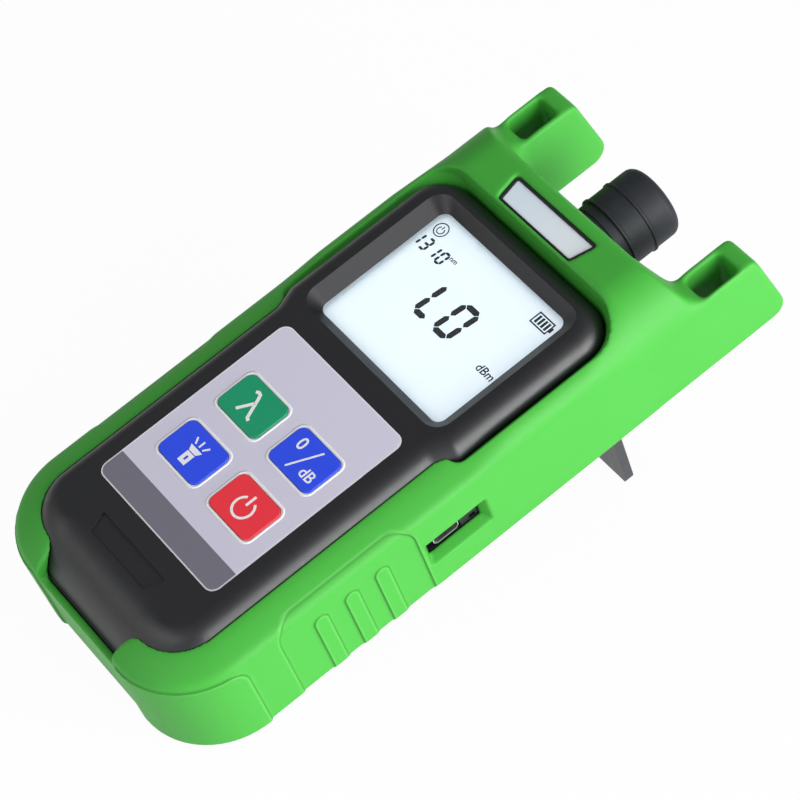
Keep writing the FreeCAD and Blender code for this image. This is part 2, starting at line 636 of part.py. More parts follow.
def horn_profile():
    """Side view of the boot's head end with a horn."""
    return [(HEAD_RISE_END, BOOT_BACK, 0), (HORN_TIP_BACK + HORN_BACK_SPARE, BOOT_BACK, HORN_TIP_BACK_R),
            (HORN_TIP_FRONT, HORN_FACE_Z, HORN_TIP_FRONT_R),
            (BOOT_CREST + CREST_FOOT, HORN_FACE_Z, CREST_FOOT_R),
            (BOOT_CREST, BOOT_HEAD_FRONT, CREST_R), (HEAD_RISE_END, BOOT_HEAD_FRONT, 0)]


def end_profile():
    """Side view of the boot's head end between the horns."""
    return [(HEAD_RISE_END, BOOT_BACK, 0), (BOOT_END, BOOT_BACK, END_BACK_R),
            (BOOT_END, BOOT_HEAD_FRONT - END_FRONT_DROP, END_FRONT_R),
            (BOOT_CREST, BOOT_HEAD_FRONT, CREST_R), (HEAD_RISE_END, BOOT_HEAD_FRONT, 0)]


def head_of_boot():
    """Head band and horns: the boot's section cut to the two side views."""
    low = section(boot_section(BOOT_FRONT, BOOT_EDGE_R), HEAD_RISE_START)
    high = section(boot_section(BOOT_HEAD_FRONT, BOOT_HEAD_EDGE_R), HEAD_RISE_END)
    rise = Part.makeLoft([low, high], True, True)
    bar = along_y(boot_section(BOOT_HEAD_FRONT, BOOT_HEAD_EDGE_R), HEAD_RISE_END, HORN_TIP_BACK + 5)
    middle = along_x(end_profile(), -BOOT_HALF, BOOT_HALF)
    horn = along_x(horn_profile(), HORN_INNER, BOOT_HALF)
    body = bar.common(middle.fuse(both_sides(horn)))
    root = HORN_ROOT_R
    web = plate([(HORN_INNER + 1, BOOT_END - 1, 0), (HORN_INNER + 1, BOOT_END + root, 0),
                 (HORN_INNER, BOOT_END + root, 0), (HORN_INNER - root, BOOT_END, 0),
                 (HORN_INNER - root, BOOT_END - 1, 0)], BOOT_BACK, BOOT_HEAD_FRONT)
    hollow_x, hollow_y = HORN_INNER - root, BOOT_END + root
    hollow = rod(root, (hollow_x, hollow_y, -BIG), (hollow_x, hollow_y, BIG))
    web = web.cut(hollow).common(along_x(horn_profile(), 0, BOOT_HALF)).common(bar)
    return rise.fuse([body] + both_sides(web)).removeSplitter()


def side_plate(y0, y1, z0, z1, radius, x0, x1):
    """Rounded field on the right side wall, open towards the back."""
    profile = [(y0, z0, 0), (y1, z0, 0), (y1, z1, radius), (y0, z1, radius)]
    return along_x(profile, x0, x1)


def make_boot():
    below = BOOT_BACK - 10.0
    body = boot_block().fuse(head_of_boot())
    # raised panels round the two bottom corners
    panel = boot_block(EAR_PANEL_RAISE)
    zone = along_x([(-BIG, below, 0), (EAR_PANEL_Y, below, 0),
                    (EAR_PANEL_Y, EAR_PANEL_Z, EAR_PANEL_R), (-BIG, EAR_PANEL_Z, 0)],
                   EAR_INNER + EAR_PANEL_INNER, BIG)
    panel = panel.common(zone).cut(boot_block(-1.0))
    body = body.fuse(both_sides(panel)).removeSplitter()
    # sunk grips with raised ribs
    grip = side_plate(GRIP_Y0, GRIP_Y1, below, GRIP_TOP_Z, GRIP_R, BOOT_HALF - 8, BOOT_HALF + 5)
    skin = grip.cut(boot_block(-GRIP_DEPTH))
    ribs = [side_plate(y - RIB_WIDTH / 2, y + RIB_WIDTH / 2, below, RIB_TOP_Z, RIB_WIDTH / 2 - 0.01,
                       0, BIG) for y in RIB_YS]
    skin = skin.cut(ribs)
    body = body.cut(both_sides(skin))
    # room for the housing, with the opening over its face
    body = body.cut([case_block(FIT), head_block(FIT), back_pad(BACK_PAD_FIT, BOOT_BACK - 1.0)])
    body = body.cut([raised_face(RIM_FIT), label_boss(RIM_FIT, 10.0)])
    body = body.cut(rim_bevel())
    # gap between the ears at the foot
    tip_x = EAR_INNER + EAR_TIP_R
    gap = [(-EAR_INNER, EAR_CUT_Z, EAR_FOOT_R), (EAR_INNER, EAR_CUT_Z, EAR_FOOT_R),
           (EAR_INNER, EAR_TIP_Z, EAR_TIP_R), (tip_x, EAR_TIP_Z, 0), (tip_x, EAR_CUT_TOP, 0),
           (-tip_x, EAR_CUT_TOP, 0), (-tip_x, EAR_TIP_Z, 0), (-EAR_INNER, EAR_TIP_Z, EAR_TIP_R)]
    body = body.cut(along_y(gap, BOOT_BOTTOM - 5, BOOT_BOTTOM + EAR_CUT_LENGTH))
    # holes of the port and the lamp, pocket of the charging socket
    holes = [rod(PORT_HOLE_R, (0, CASE_TOP - 1, PORT_Z), (0, BOOT_END + 5, PORT_Z)),
             rod(TORCH_HOLE_R, (TORCH_X, CASE_TOP - 1, PORT_Z), (TORCH_X, BOOT_END + 5, PORT_Z))]
    return body.cut(both_sides(lanyard_slot()) + holes + [socket_pocket()])


def lanyard_slot():
    """Slot through the right horn, its front mouth bevelled."""
    def mouth(grow, z):
        x0, x1, y0, y1 = SLOT_X0 - grow, SLOT_X1 + grow, SLOT_Y0 - grow, SLOT_Y1 + grow
        radius = SLOT_R + grow
        wire = rounded_wire([(x0, y0, radius), (x1, y0, radius), (x1, y1, radius), (x0, y1, radius)])
        wire.translate(V(0, 0, z))
        return wire
    through = Part.Face(mouth(0.0, BOOT_BACK - 1.0)).extrude(V(0, 0, BOOT_HEAD_FRONT - BOOT_BACK + 1.0))
    low, high = HORN_FACE_Z - SLOT_BEVEL, HORN_FACE_Z + SLOT_BEVEL
    bevel = Part.makeLoft([mouth(0.0, low), mouth(2 * SLOT_BEVEL, high)], True, True)
    return through.fuse(bevel)


def rim_bevel():
    """Bevel of the rim beside and above the display, down to the housing's shoulder."""
    y0 = NECK_TOP - 1.0
    low = rounded_wire(rect(HEAD_HALF + RIM_FIT, y0, FACE_TOP + RIM_FIT, FUNNEL_LOW_R, FACE_TOP_R + RIM_FIT))
    high = rounded_wire(rect(HEAD_HALF + FUNNEL_SIDE, y0 - FUNNEL_SPREAD, FACE_TOP + FUNNEL_TOP,
                             FUNNEL_HIGH_R, FACE_TOP_R + FUNNEL_TOP))
    low.translate(V(0, 0, FUNNEL_Z))
    high.translate(V(0, 0, BOOT_FRONT + FUNNEL_RISE))
    upright = Part.Face(high).extrude(V(0, 0, 10.0))
    return Part.makeLoft([low, high], True, True).fuse(upright).removeSplitter()


def socket_pocket():
    """Tapered opening in the right wall that lets a plug reach the charging socket."""
    inner_x = CASE_HALF + POCKET_INNER_X
    inner = (POCKET_IN_Y0, POCKET_IN_Y1, POCKET_IN_Z0, POCKET_IN_Z1)
    outer = (POCKET_OUT_Y0, POCKET_OUT_Y1, POCKET_OUT_Z0, POCKET_OUT_Z1)
    # the same slopes carried on past the outside of the wall
    on = 1.0 + POCKET_OVERRUN / (BOOT_HALF - inner_x)
    beyond = [i + (o - i) * on for i, o in zip(inner, outer)]

    def mouth(sides, x):
        y0, y1, z0, z1 = sides
        return Part.makePolygon([V(x, y0, z0), V(x, y1, z0), V(x, y1, z1), V(x, y0, z1), V(x, y0, z0)])
    taper = Part.makeLoft([mouth(inner, inner_x), mouth(beyond, BOOT_HALF + POCKET_OVERRUN)], True, True)
    return taper.fuse(box(inner_x - 2.0, inner_x, *inner))


# ---------------------------------------------------------------- display and keypad


def block_on_display(w, h, radius, z0, z1):
    return plate(rect(w / 2, -h / 2, h / 2, radius), z0, z1)


def make_display():
    """Lens, liquid crystal cell, backlight and the two strips that connect the cell to the board."""
    lens_w, lens_h = lens_size()
    w, h = lens_size(-CELL_INSET)
    lens = block_on_display(lens_w, lens_h, LENS_R, GLASS_Z - LENS_T, GLASS_Z)
    cell_top = GLASS_Z - LENS_T - CELL_GAP
    cell_low = cell_top - CELL_T
    cell = block_on_display(w, h, CELL_R, cell_low, cell_top)
    light_h = h - 2 * (CONNECTOR_W + CONNECTOR_GAP)
    backlight = block_on_display(w, light_h, BACKLIGHT_R, BOARD_TOP_Z, cell_low)
    strip_y = h / 2 - CONNECTOR_W / 2
    strip_x = w / 2 - CONNECTOR_END
    strips = [box(-strip_x, strip_x, y - CONNECTOR_W / 2, y + CONNECTOR_W / 2, BOARD_TOP_Z, cell_low)
              for y in (-strip_y, strip_y)]
    return lens, cell, backlight, Part.makeCompound(strips)


def make_overlay():
    """Printed panel over the keypad, with an opening for each key."""
    label = plate(label_outline(), -LABEL_T, 0.0)
    return label.cut([plate(key_outline(c, KEY_CLEAR), -2.0, 1.0) for c in key_places().values()])


def make_key(centre):
    """Key cap with a flange that holds it under the face and a stem down to its dome."""
    x, y = centre
    under_face = -FACE_WALL - KEY_PLAY
    cap = plate(key_outline(centre), under_face, KEY_PROUD)
    cap = fillet(cap, lambda e: on_plane(e, "Z", KEY_PROUD), lambda e: (KEY_EDGE_R, KEY_EDGE_R))
    flange = plate(key_outline(centre, KEY_FLANGE), under_face - KEY_FLANGE_T, under_face)
    stem_end = BOARD_TOP_Z + DOME_H + DOME_GAP + KEY_TRAVEL
    stem = rod(KEY_STEM_R, (x, y, under_face - KEY_FLANGE_T), (x, y, stem_end))
    return cap.fuse([flange, stem]).removeSplitter()


def make_domes():
    """One snap dome under each key."""
    domes = []
    ball_r = (DOME_R ** 2 + DOME_H ** 2) / (2 * DOME_H)
    for x, y in key_places().values():
        ball = Part.makeSphere(ball_r, V(x, y, BOARD_TOP_Z + DOME_H - ball_r))
        domes.append(ball.common(rod(DOME_R, (x, y, BOARD_TOP_Z), (x, y, BOARD_TOP_Z + 1))))
    return Part.makeCompound(domes)


def make_name_label():
    z = BOSS_Z - STRIP_SINK
    return plate(strip_outline(), z, z + STRIP_T)


# ---------------------------------------------------------------- electronics and fasteners


def make_board():
    low = BOARD_TOP_Z - BOARD_T
    board = plate(rect(BOARD_HALF, BOARD_Y0, BOARD_Y1, BOARD_R), low, BOARD_TOP_Z)
    holes = [rod(BOARD_SCREW_R + SCREW_FIT, (x, y, low - 1), (x, y, BOARD_TOP_Z + 1))
             for x, y in board_screw_places()]
    return board.cut(holes)


def screw(x, y, head_z, seat_z, tip_z, head_r, shank_r):
    """Cross-head screw standing along z, its head between head_z and seat_z."""
    body = rod(head_r, (x, y, head_z), (x, y, seat_z)).fuse(rod(shank_r, (x, y, head_z), (x, y, tip_z)))
    deep = math.copysign(SLOT_DEEP, seat_z - head_z)
    z0, z1 = sorted((head_z - deep, head_z + deep))
    reach = head_r * CROSS_REACH
    slot = box(x - reach, x + reach, y - SLOT_HALF_W, y + SLOT_HALF_W, z0, z1)
    cross = box(x - SLOT_HALF_W, x + SLOT_HALF_W, y - reach, y + reach, z0, z1)
    return body.removeSplitter().cut([slot, cross])


def make_board_screws():
    seat = BOARD_TOP_Z - BOARD_T
    return Part.makeCompound([screw(x, y, seat - BOARD_HEAD_T, seat, BOARD_TOP_Z + BOARD_SCREW_REACH,
                                    BOARD_HEAD_R, BOARD_SCREW_R) for x, y in board_screw_places()])


def make_case_screws():
    """Self-tapping screws from the back, hidden under the boot."""
    return Part.makeCompound([screw(x, y, CASE_SEAT_Z - CASE_HEAD_T, CASE_SEAT_Z, CASE_SCREW_TIP_Z,
                                    CASE_HEAD_R, CASE_SCREW_R) for x, y in case_screw_places()])


def make_charging_board_screws():
    seat = SOCKET_TOP_Z + CHARGE_BOARD_T
    tip = SOCKET_TOP_Z - CHARGE_SCREW_REACH + PILOT_SPARE
    return Part.makeCompound([screw(x, y, seat + CHARGE_HEAD_T, seat, tip, CHARGE_HEAD_R, CHARGE_SCREW_R)
                              for x, y in charge_screw_places()])


def make_chip():
    low = BOARD_TOP_Z - BOARD_T
    half = CHIP_SIZE / 2
    chip = box(-half, half, CHIP_Y - half, CHIP_Y + half, low - CHIP_T, low)
    return fillet(chip, lambda e: on_plane(e, "Z", low - CHIP_T), lambda e: (CHIP_EDGE_R, CHIP_EDGE_R))


def make_battery():
    block = box(BATTERY_X0, BATTERY_X1, BATTERY_Y0, BATTERY_Y1, BATTERY_Z0, BATTERY_Z1)
    return fillet(block, lambda e: e.BoundBox.YLength > 1.0, lambda e: (BATTERY_R, BATTERY_R))


def make_socket():
    """Charging socket: metal shell, plastic insert with its tongue, and the contacts on the tongue."""
    z1, z0 = SOCKET_TOP_Z, SOCKET_TOP_Z - SOCKET_H
    x0, x1 = SOCKET_MOUTH_X - SOCKET_DEPTH, SOCKET_MOUTH_X
    y0, y1 = SOCKET_Y - SOCKET_W / 2, SOCKET_Y + SOCKET_W / 2
    t = SOCKET_SHELL_T

    def trapezoid(inset):
        """Socket outline in (y, z): square on the board side, bevelled on the other."""
        return [(y0 + inset, z1 - inset, SOCKET_CORNER_R), (y1 - inset, z1 - inset, SOCKET_CORNER_R),
                (y1 - inset, z0 + SOCKET_BEVEL, SOCKET_BEVEL_R),
                (y1 - SOCKET_BEVEL, z0 + inset, SOCKET_BEVEL_R),
                (y0 + SOCKET_BEVEL, z0 + inset, SOCKET_BEVEL_R),
                (y0 + inset, z0 + SOCKET_BEVEL, SOCKET_BEVEL_R)]
    shell = along_x(trapezoid(0.0), x0, x1).cut(along_x(trapezoid(t), x0 - 1, x1 + 1))
    root_x = x0 + SOCKET_BASE_T
    base = along_x(trapezoid(t), x0, root_x)
    tongue_top = z1 - t - TONGUE_GAP
    tongue_low = tongue_top - TONGUE_T
    tongue_x = x1 - TONGUE_BACK
    tongue = box(root_x, tongue_x, SOCKET_Y - TONGUE_W / 2, SOCKET_Y + TONGUE_W / 2, tongue_low, tongue_top)
    insert = base.fuse(tongue).removeSplitter()
    contacts = []
    for i in range(CONTACTS):
        y = SOCKET_Y + (i - (CONTACTS - 1) / 2) * CONTACT_PITCH
        contacts.append(box(root_x + CONTACT_END, tongue_x - CONTACT_END, y - CONTACT_W / 2,
                            y + CONTACT_W / 2, tongue_top, tongue_top + CONTACT_T))
    return shell, insert, Part.makeCompound(contacts)


def make_charging_board():
    """Small board that carries the charging socket, screwed to two posts of the rear shell."""
    low, top = SOCKET_TOP_Z, SOCKET_TOP_Z + CHARGE_BOARD_T
    board = box(CHARGE_BOARD_X0, CHARGE_BOARD_X1, SOCKET_Y - CHARGE_BOARD_HALF, SOCKET_Y + CHARGE_BOARD_HALF,
                low, top)
    return board.cut([rod(CHARGE_SCREW_R + SCREW_FIT, (x, y, low - 1), (x, y, top + 1))
                      for x, y in charge_screw_places()])


# ---------------------------------------------------------------- optical port, cap, lamp


def make_port():
    """Flange, sleeve with its keyway, ferrule sleeve and detector, all on one axis."""
    flange_y = CASE_TOP + FLANGE_T
    flange = rod(FLANGE_R, (0, CASE_TOP, PORT_Z), (0, flange_y, PORT_Z))
    flange = flange.cut([rod(FERRULE_R, (0, CASE_TOP - 1, PORT_Z), (0, flange_y + 1, PORT_Z))]
                        + [rod(ADAPTER_SCREW_R + SCREW_FIT, (x, CASE_TOP - 1, z), (x, flange_y + 1, z))
                           for x, z in adapter_screw_places()])
    end = flange_y + SLEEVE_LENGTH
    sleeve = rod(SLEEVE_R, (0, flange_y, PORT_Z), (0, end, PORT_Z))
    sleeve = fillet(sleeve, lambda e: on_plane(e, "Y", end), lambda e: (SLEEVE_EDGE_R, SLEEVE_EDGE_R))
    sleeve = sleeve.cut([rod(SLEEVE_BORE_R, (0, flange_y + SLEEVE_FLOOR_T, PORT_Z), (0, BIG, PORT_Z)),
                         rod(FERRULE_R, (0, flange_y - 1, PORT_Z), (0, BIG, PORT_Z)),
                         box(-KEYWAY_HALF, KEYWAY_HALF, end - KEYWAY_LENGTH, end + 1,
                             PORT_Z + SLEEVE_BORE_R - KEYWAY_ROOT, PORT_Z + SLEEVE_R + 1)])
    ferrule = rod(FERRULE_R, (0, CASE_TOP, PORT_Z), (0, CASE_TOP + FERRULE_LENGTH, PORT_Z))
    ferrule = ferrule.cut(rod(FERRULE_BORE_R, (0, CASE_TOP - 1, PORT_Z), (0, BIG, PORT_Z)))
    return flange, sleeve, ferrule


def make_detector():
    """Metal can behind the port, its base against the inside of the wall, with three leads."""
    base_y = CASE_TOP - WALL
    can = rod(DETECTOR_R, (0, base_y, PORT_Z), (0, base_y + DETECTOR_LENGTH, PORT_Z))
    base = rod(DETECTOR_BASE_R, (0, base_y - DETECTOR_BASE_T, PORT_Z), (0, base_y, PORT_Z))
    leads = []
    for i in range(3):
        angle = math.radians(90 + 120 * i)
        x, z = LEAD_CIRCLE * math.cos(angle), PORT_Z + LEAD_CIRCLE * math.sin(angle)
        leads.append(rod(LEAD_R, (x, base_y - DETECTOR_BASE_T - LEAD_LENGTH, z), (x, base_y - LEAD_BITE, z)))
    return can.fuse([base] + leads).removeSplitter()


def make_adapter_screws():
    """Four small screws that hold the flange to the case."""
    seat = CASE_TOP + FLANGE_T
    screws = []
    for x, z in adapter_screw_places():
        head = rod(ADAPTER_HEAD_R, (x, seat, z), (x, seat + ADAPTER_HEAD_T, z))
        shank = rod(ADAPTER_SCREW_R, (x, seat - ADAPTER_SCREW_REACH, z), (x, seat, z))
        screws.append(head.fuse(shank).removeSplitter())
    return Part.makeCompound(screws)


def make_cap():
    """Rubber cap: rings and grooves turned on a hollow cup, drawn as radius against y."""
    def at(radius, y):
        return V(radius, y, 0)
    outline = [(CAP_BORE_R, CAP_START), (CAP_FOOT_R, CAP_START)]
    for y in CAP_GROOVES:
        outline += [(CAP_FOOT_R, y - GROOVE_HALF), (CAP_FOOT_R - GROOVE_DEEP, y),
                    (CAP_FOOT_R, y + GROOVE_HALF)]
    radius = CAP_FOOT_R
    for y in CAP_RING_YS:
        low, high = y - CAP_RING_W / 2, y + CAP_RING_W / 2
        outline += [(radius, low), (CAP_RING_R, low + RING_RISE), (CAP_RING_R, high - RING_FALL),
                    (CAP_BODY_R, high)]
        radius = CAP_BODY_R
    points = [at(r, y) for r, y in outline]
    shoulder = at(CAP_BODY_R, CAP_END - CAP_END_R)
    crown = at(CAP_BODY_R - CAP_END_R, CAP_END)
    turn = math.sqrt(0.5) * CAP_END_R
    middle = at(CAP_BODY_R - CAP_END_R + turn, CAP_END - CAP_END_R + turn)
    edges = [Part.makeLine(a, b) for a, b in zip(points, points[1:] + [shoulder])]
    edges.append(Part.Arc(shoulder, middle, crown).toShape())
    rest = [crown, at(0, CAP_END), at(0, CAP_BORE_END), at(CAP_BORE_R, CAP_BORE_END), points[0]]
    edges += [Part.makeLine(a, b) for a, b in zip(rest, rest[1:])]
    cap = Part.Face(Part.Wire(edges)).revolve(V(0, 0, 0), V(0, 1, 0), 360)
    cap.translate(V(0, 0, PORT_Z))
    return cap


def make_torch():
    """Light-emitting diode in the head end, its rim against the inside of the wall."""
    rim_y = CASE_TOP - WALL
    dome_y = BOOT_END - TORCH_R
    body = rod(TORCH_R, (TORCH_X, rim_y, PORT_Z), (TORCH_X, dome_y, PORT_Z))
    dome = Part.makeSphere(TORCH_R, V(TORCH_X, dome_y, PORT_Z))
    rim = rod(TORCH_RIM_R, (TORCH_X, rim_y - TORCH_RIM_T, PORT_Z), (TORCH_X, rim_y, PORT_Z))
    lead_y = rim_y - TORCH_RIM_T - LEAD_LENGTH
    leads = [rod(LEAD_R, (x, lead_y, PORT_Z), (x, rim_y - LEAD_BITE, PORT_Z))
             for x in (TORCH_X - LEAD_CIRCLE, TORCH_X + LEAD_CIRCLE)]
    return body.fuse([dome, rim] + leads).removeSplitter()


# ---------------------------------------------------------------- kickstand


def hinge_axis():
    return STAND_OUTER_Y - STAND_OFFSET, HINGE_Z


def make_kickstand():
    """Flat plate with a hinge barrel, open at a right angle to the back."""
    y, z = hinge_axis()
    tip = z - STAND_REACH
    inner_y = STAND_OUTER_Y - STAND_T
    blade = along_x([(inner_y, tip, STAND_TIP_R), (STAND_OUTER_Y, tip, STAND_TIP_R),
                     (STAND_OUTER_Y, z + STAND_HEAD, STAND_HEAD_R), (inner_y, z + STAND_HEAD, STAND_HEAD_R)],
                    -STAND_HALF, STAND_HALF)
    outline = rect(STAND_HALF, tip, z + 5.0, STAND_CORNER_R, 0.01)
    blade = blade.common(along_y(outline, y - 10.0, y + 10.0))
    # shallow pull recess on the face that lies outward when folded
    floor_y = STAND_OUTER_Y - PULL_SINK
    mouth_y = STAND_OUTER_Y + 1.0
    grip = along_x([(floor_y, tip + PULL_LOW, PULL_FLOOR_R), (mouth_y, tip + PULL_LOW - PULL_SLOPE, 0),
                    (mouth_y, tip + PULL_HIGH + PULL_SLOPE, 0), (floor_y, tip + PULL_HIGH, PULL_FLOOR_R)],
                   -SCOOP_HALF, SCOOP_HALF)
    barrel = rod(STAND_BARREL_R, (-STAND_HALF, y, z), (STAND_HALF, y, z))
    hole = rod(PIN_R + PIN_FIT, (-BIG, y, z), (BIG, y, z))
    return blade.fuse(barrel).removeSplitter().cut([grip, hole])


def make_pin():
    y, z = hinge_axis()
    reach = STAND_HALF + STAND_GAP + PIN_SEAT - PIN_SHORT
    return rod(PIN_R, (-reach, y, z), (reach, y, z))


# ---------------------------------------------------------------- standing pose


def lean_angle():
    """Angle that puts the boot's back corner and the stand's tip on one floor line."""
    foot = (BOOT_BOTTOM - EAR_PANEL_RAISE + BOOT_BACK_R, BOOT_BACK + BOOT_BACK_R)
    tip = (STAND_OUTER_Y - STAND_T + STAND_TIP_R, HINGE_Z - STAND_REACH + STAND_TIP_R)
    dy, dz = foot[0] - tip[0], foot[1] - tip[1]
    return math.atan2(dy, dz) + math.acos((BOOT_BACK_R - STAND_TIP_R) / math.hypot(dy, dz))


def standing(shapes):
    """Lean every piece back and set the whole meter on z = 0, centred over the origin."""
    angle = math.degrees(lean_angle())
    turn = FreeCAD.Placement(V(0, 0, 0), FreeCAD.Rotation(V(1, 0, 0), angle))
    for shape in shapes.values():
        shape.transformShape(turn.toMatrix())
    boxes = [shape.optimalBoundingBox(False) for shape in shapes.values()]
    middle = (min(b.YMin for b in boxes) + max(b.YMax for b in boxes)) / 2
    shift = V(0, -middle, -min(b.ZMin for b in boxes))
    for shape in shapes.values():
        shape.translate(shift)
    print("lean %.5f degrees, shift %.5f %.5f" % (angle, shift.y, shift.z))
    return shapes


def make_all():
    lens, cell, backlight, connectors = make_display()
    shell, insert, contacts = make_socket()
    flange, sleeve, ferrule = make_port()
    shapes = {
        "protective_boot": make_boot(),
        "front_housing": make_front_housing(),
        "rear_housing": make_rear_housing(),
        "display_window": lens,
        "display_panel": cell,
        "display_backlight": backlight,
        "display_connectors": connectors,
        "keypad_overlay": make_overlay(),
        "key_domes": make_domes(),
        "name_label": make_name_label(),
        "main_board": make_board(),
        "board_screws": make_board_screws(),
        "meter_chip": make_chip(),
        "case_screws": make_case_screws(),
        "battery_pack": make_battery(),
        "charging_board": make_charging_board(),
        "charging_board_screws": make_charging_board_screws(),
        "charging_socket_shell": shell,
        "charging_socket_insert": insert,
        "charging_contacts": contacts,
        "adapter_flange": flange,
        "adapter_sleeve": sleeve,
        "ferrule_sleeve": ferrule,
        "adapter_screws": make_adapter_screws(),
        "detector": make_detector(),
        "torch_lamp": make_torch(),
        "dust_cap": make_cap(),
        "kickstand": make_kickstand(),
        "kickstand_pin": make_pin(),
    }
    for name, centre in key_places().items():
        shapes[name] = make_key(centre)
    return shapes


os.makedirs("parts", exist_ok=True)
for node, solid in standing(make_all()).items():
    solid.exportStep(os.path.join("parts", node + ".step"))
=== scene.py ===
"""Looks of the handheld optical power meter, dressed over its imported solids.

Lengths are drawn in millimetres in the meter's own frame: x across it, y along it towards the
optical port from the middle of the display, z out of its face from the face of the keypad.
ROW carries that frame to the one the solids stand in, in metres.
"""

import json
import math

import bmesh
import bpy
import numpy as np
from mathutils import Matrix, Vector


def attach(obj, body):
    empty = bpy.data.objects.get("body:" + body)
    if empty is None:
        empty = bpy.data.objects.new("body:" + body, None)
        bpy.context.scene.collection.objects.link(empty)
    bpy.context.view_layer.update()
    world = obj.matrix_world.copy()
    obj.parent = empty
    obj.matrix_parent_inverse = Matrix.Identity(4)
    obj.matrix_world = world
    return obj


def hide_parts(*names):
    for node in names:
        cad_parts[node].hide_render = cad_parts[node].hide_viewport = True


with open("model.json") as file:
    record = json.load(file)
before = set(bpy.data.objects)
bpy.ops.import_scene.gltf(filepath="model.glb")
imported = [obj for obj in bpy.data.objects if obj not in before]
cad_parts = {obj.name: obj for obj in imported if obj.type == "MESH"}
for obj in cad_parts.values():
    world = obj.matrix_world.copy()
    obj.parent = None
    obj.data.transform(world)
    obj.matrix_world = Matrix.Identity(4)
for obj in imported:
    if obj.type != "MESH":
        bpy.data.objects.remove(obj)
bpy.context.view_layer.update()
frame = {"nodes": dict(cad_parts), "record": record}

MM = 0.001
LEAN = math.radians(18.21562)
SHIFT = Vector((0.0, 15.08993, 66.68807)) * MM
ROW = Matrix.Translation(SHIFT) @ Matrix.Rotation(LEAN, 4, "X")

# ---------------------------------------------------------------- sizes taken from the solids (mm)
CELL_TOP = -4.8             # face of the liquid crystal cell, under the lens
KEY_TOP = 0.3               # face of a key
KEY_X, KEY_ROWS = 10.7, (-48.5, -66.3)
KEY_W, KEY_H, KEY_R = 16.0, 11.4, 2.0
LABEL_HALF, LABEL_TOP, LABEL_BOTTOM = 24.2, -28.4, -85.9
LABEL_R = 2.8
TITLE_TOP = -78.4           # the darker strip at the foot of the keypad label
BOOT_HALF = 40.0
BOOT_FOOT, CORNER_R = -112.2, 21.0
PAST_BACK, PAST_FOOT = -60.0, -200.0            # well behind the boot's back, well below its foot
# fields of the side walls: along from and to, out from and to, radius of the corners
GRIP = (-80.6, -40.9, PAST_BACK, -4.7, 6.5)                # sunk, with three ribs left standing
RIB_YS, RIB_HALF, RIB_TOP = (-69.3, -60.3, -51.4), 2.0, -11.4
EAR_PANEL = (PAST_FOOT, -90.6, PAST_BACK, -8.0, 4.5)       # raised, round each bottom corner
EAR_PANEL_INNER = 17.7

# ---------------------------------------------------------------- sizes of what is added (mm)
PRINT_T = 0.04              # height of printed marks
PRINT_SINK = 0.01           # and how far they sink into what carries them
LINE_W, LINE_GAP = 0.75, 0.17                   # white line round each key, and how far it stands off
MITRE_LEAST = 0.4           # how far a sharp corner of a line may draw out, the smaller the farther
LETTER_BOLD = 0.012         # how much letters are thickened, as a share of their size
FIGURE_SLANT = 0.10
STROKE_GAP = 0.09           # bare end of a figure's stroke, as a share of its width
WAVELENGTH_AT, WAVELENGTH_PITCH = (-25.7, 8.6), 3.1        # its first figure's lower left corner
LEVEL_FOOT, LEVEL_H, LEVEL_STROKE = -3.9, 11.2, 1.6
TIMER_AT, TIMER_R = (-21.0, 15.75), 1.95
BATTERY_SIGN = (16.0, 14.3, 21.5, 17.6)         # its outline on the display: left, foot, right, top
BATTERY_BARS, BAR_PITCH, BAR_W, BAR_H = 4, 1.15, 0.72, 2.30
FIRST_BAR = 1.05            # from the sign's left edge to the middle of its first bar


# ---------------------------------------------------------------- finishes


class Socket:
    """One output of a node tree, which takes Python arithmetic."""

    def __init__(self, finish, link):
        self.finish = finish
        self.link = link

    def maths(self, operation, *values):
        return self.finish.node("ShaderNodeMath", {"operation": operation}, dict(enumerate(values)))

    def __add__(self, other):
        return self.maths("ADD", self, other)

    __radd__ = __add__

    def __sub__(self, other):
        return self.maths("SUBTRACT", self, other)

    def __rsub__(self, other):
        return self.maths("SUBTRACT", other, self)

    def __mul__(self, other):
        return self.maths("MULTIPLY", self, other)

    __rmul__ = __mul__

    def __truediv__(self, other):
        return self.maths("DIVIDE", self, other)

    def __rtruediv__(self, other):
        return self.maths("DIVIDE", other, self)

    def __pow__(self, other):
        return self.maths("POWER", self, other)

    def __neg__(self):
        return self.maths("MULTIPLY", self, -1.0)

    def size(self):
        return self.maths("ABSOLUTE", self)

    def most(self, other):
        return self.maths("MAXIMUM", self, other)

    def least(self, other):
        return self.maths("MINIMUM", self, other)

    def sine(self):
        return self.maths("SINE", self)

    def ramp(self, low, high):
        """0 below low, 1 above high, smooth between; low may be the larger of the two."""
        return self.finish.node("ShaderNodeMapRange", {"interpolation_type": "SMOOTHSTEP"},
                                {"Value": self, "From Min": low, "From Max": high})


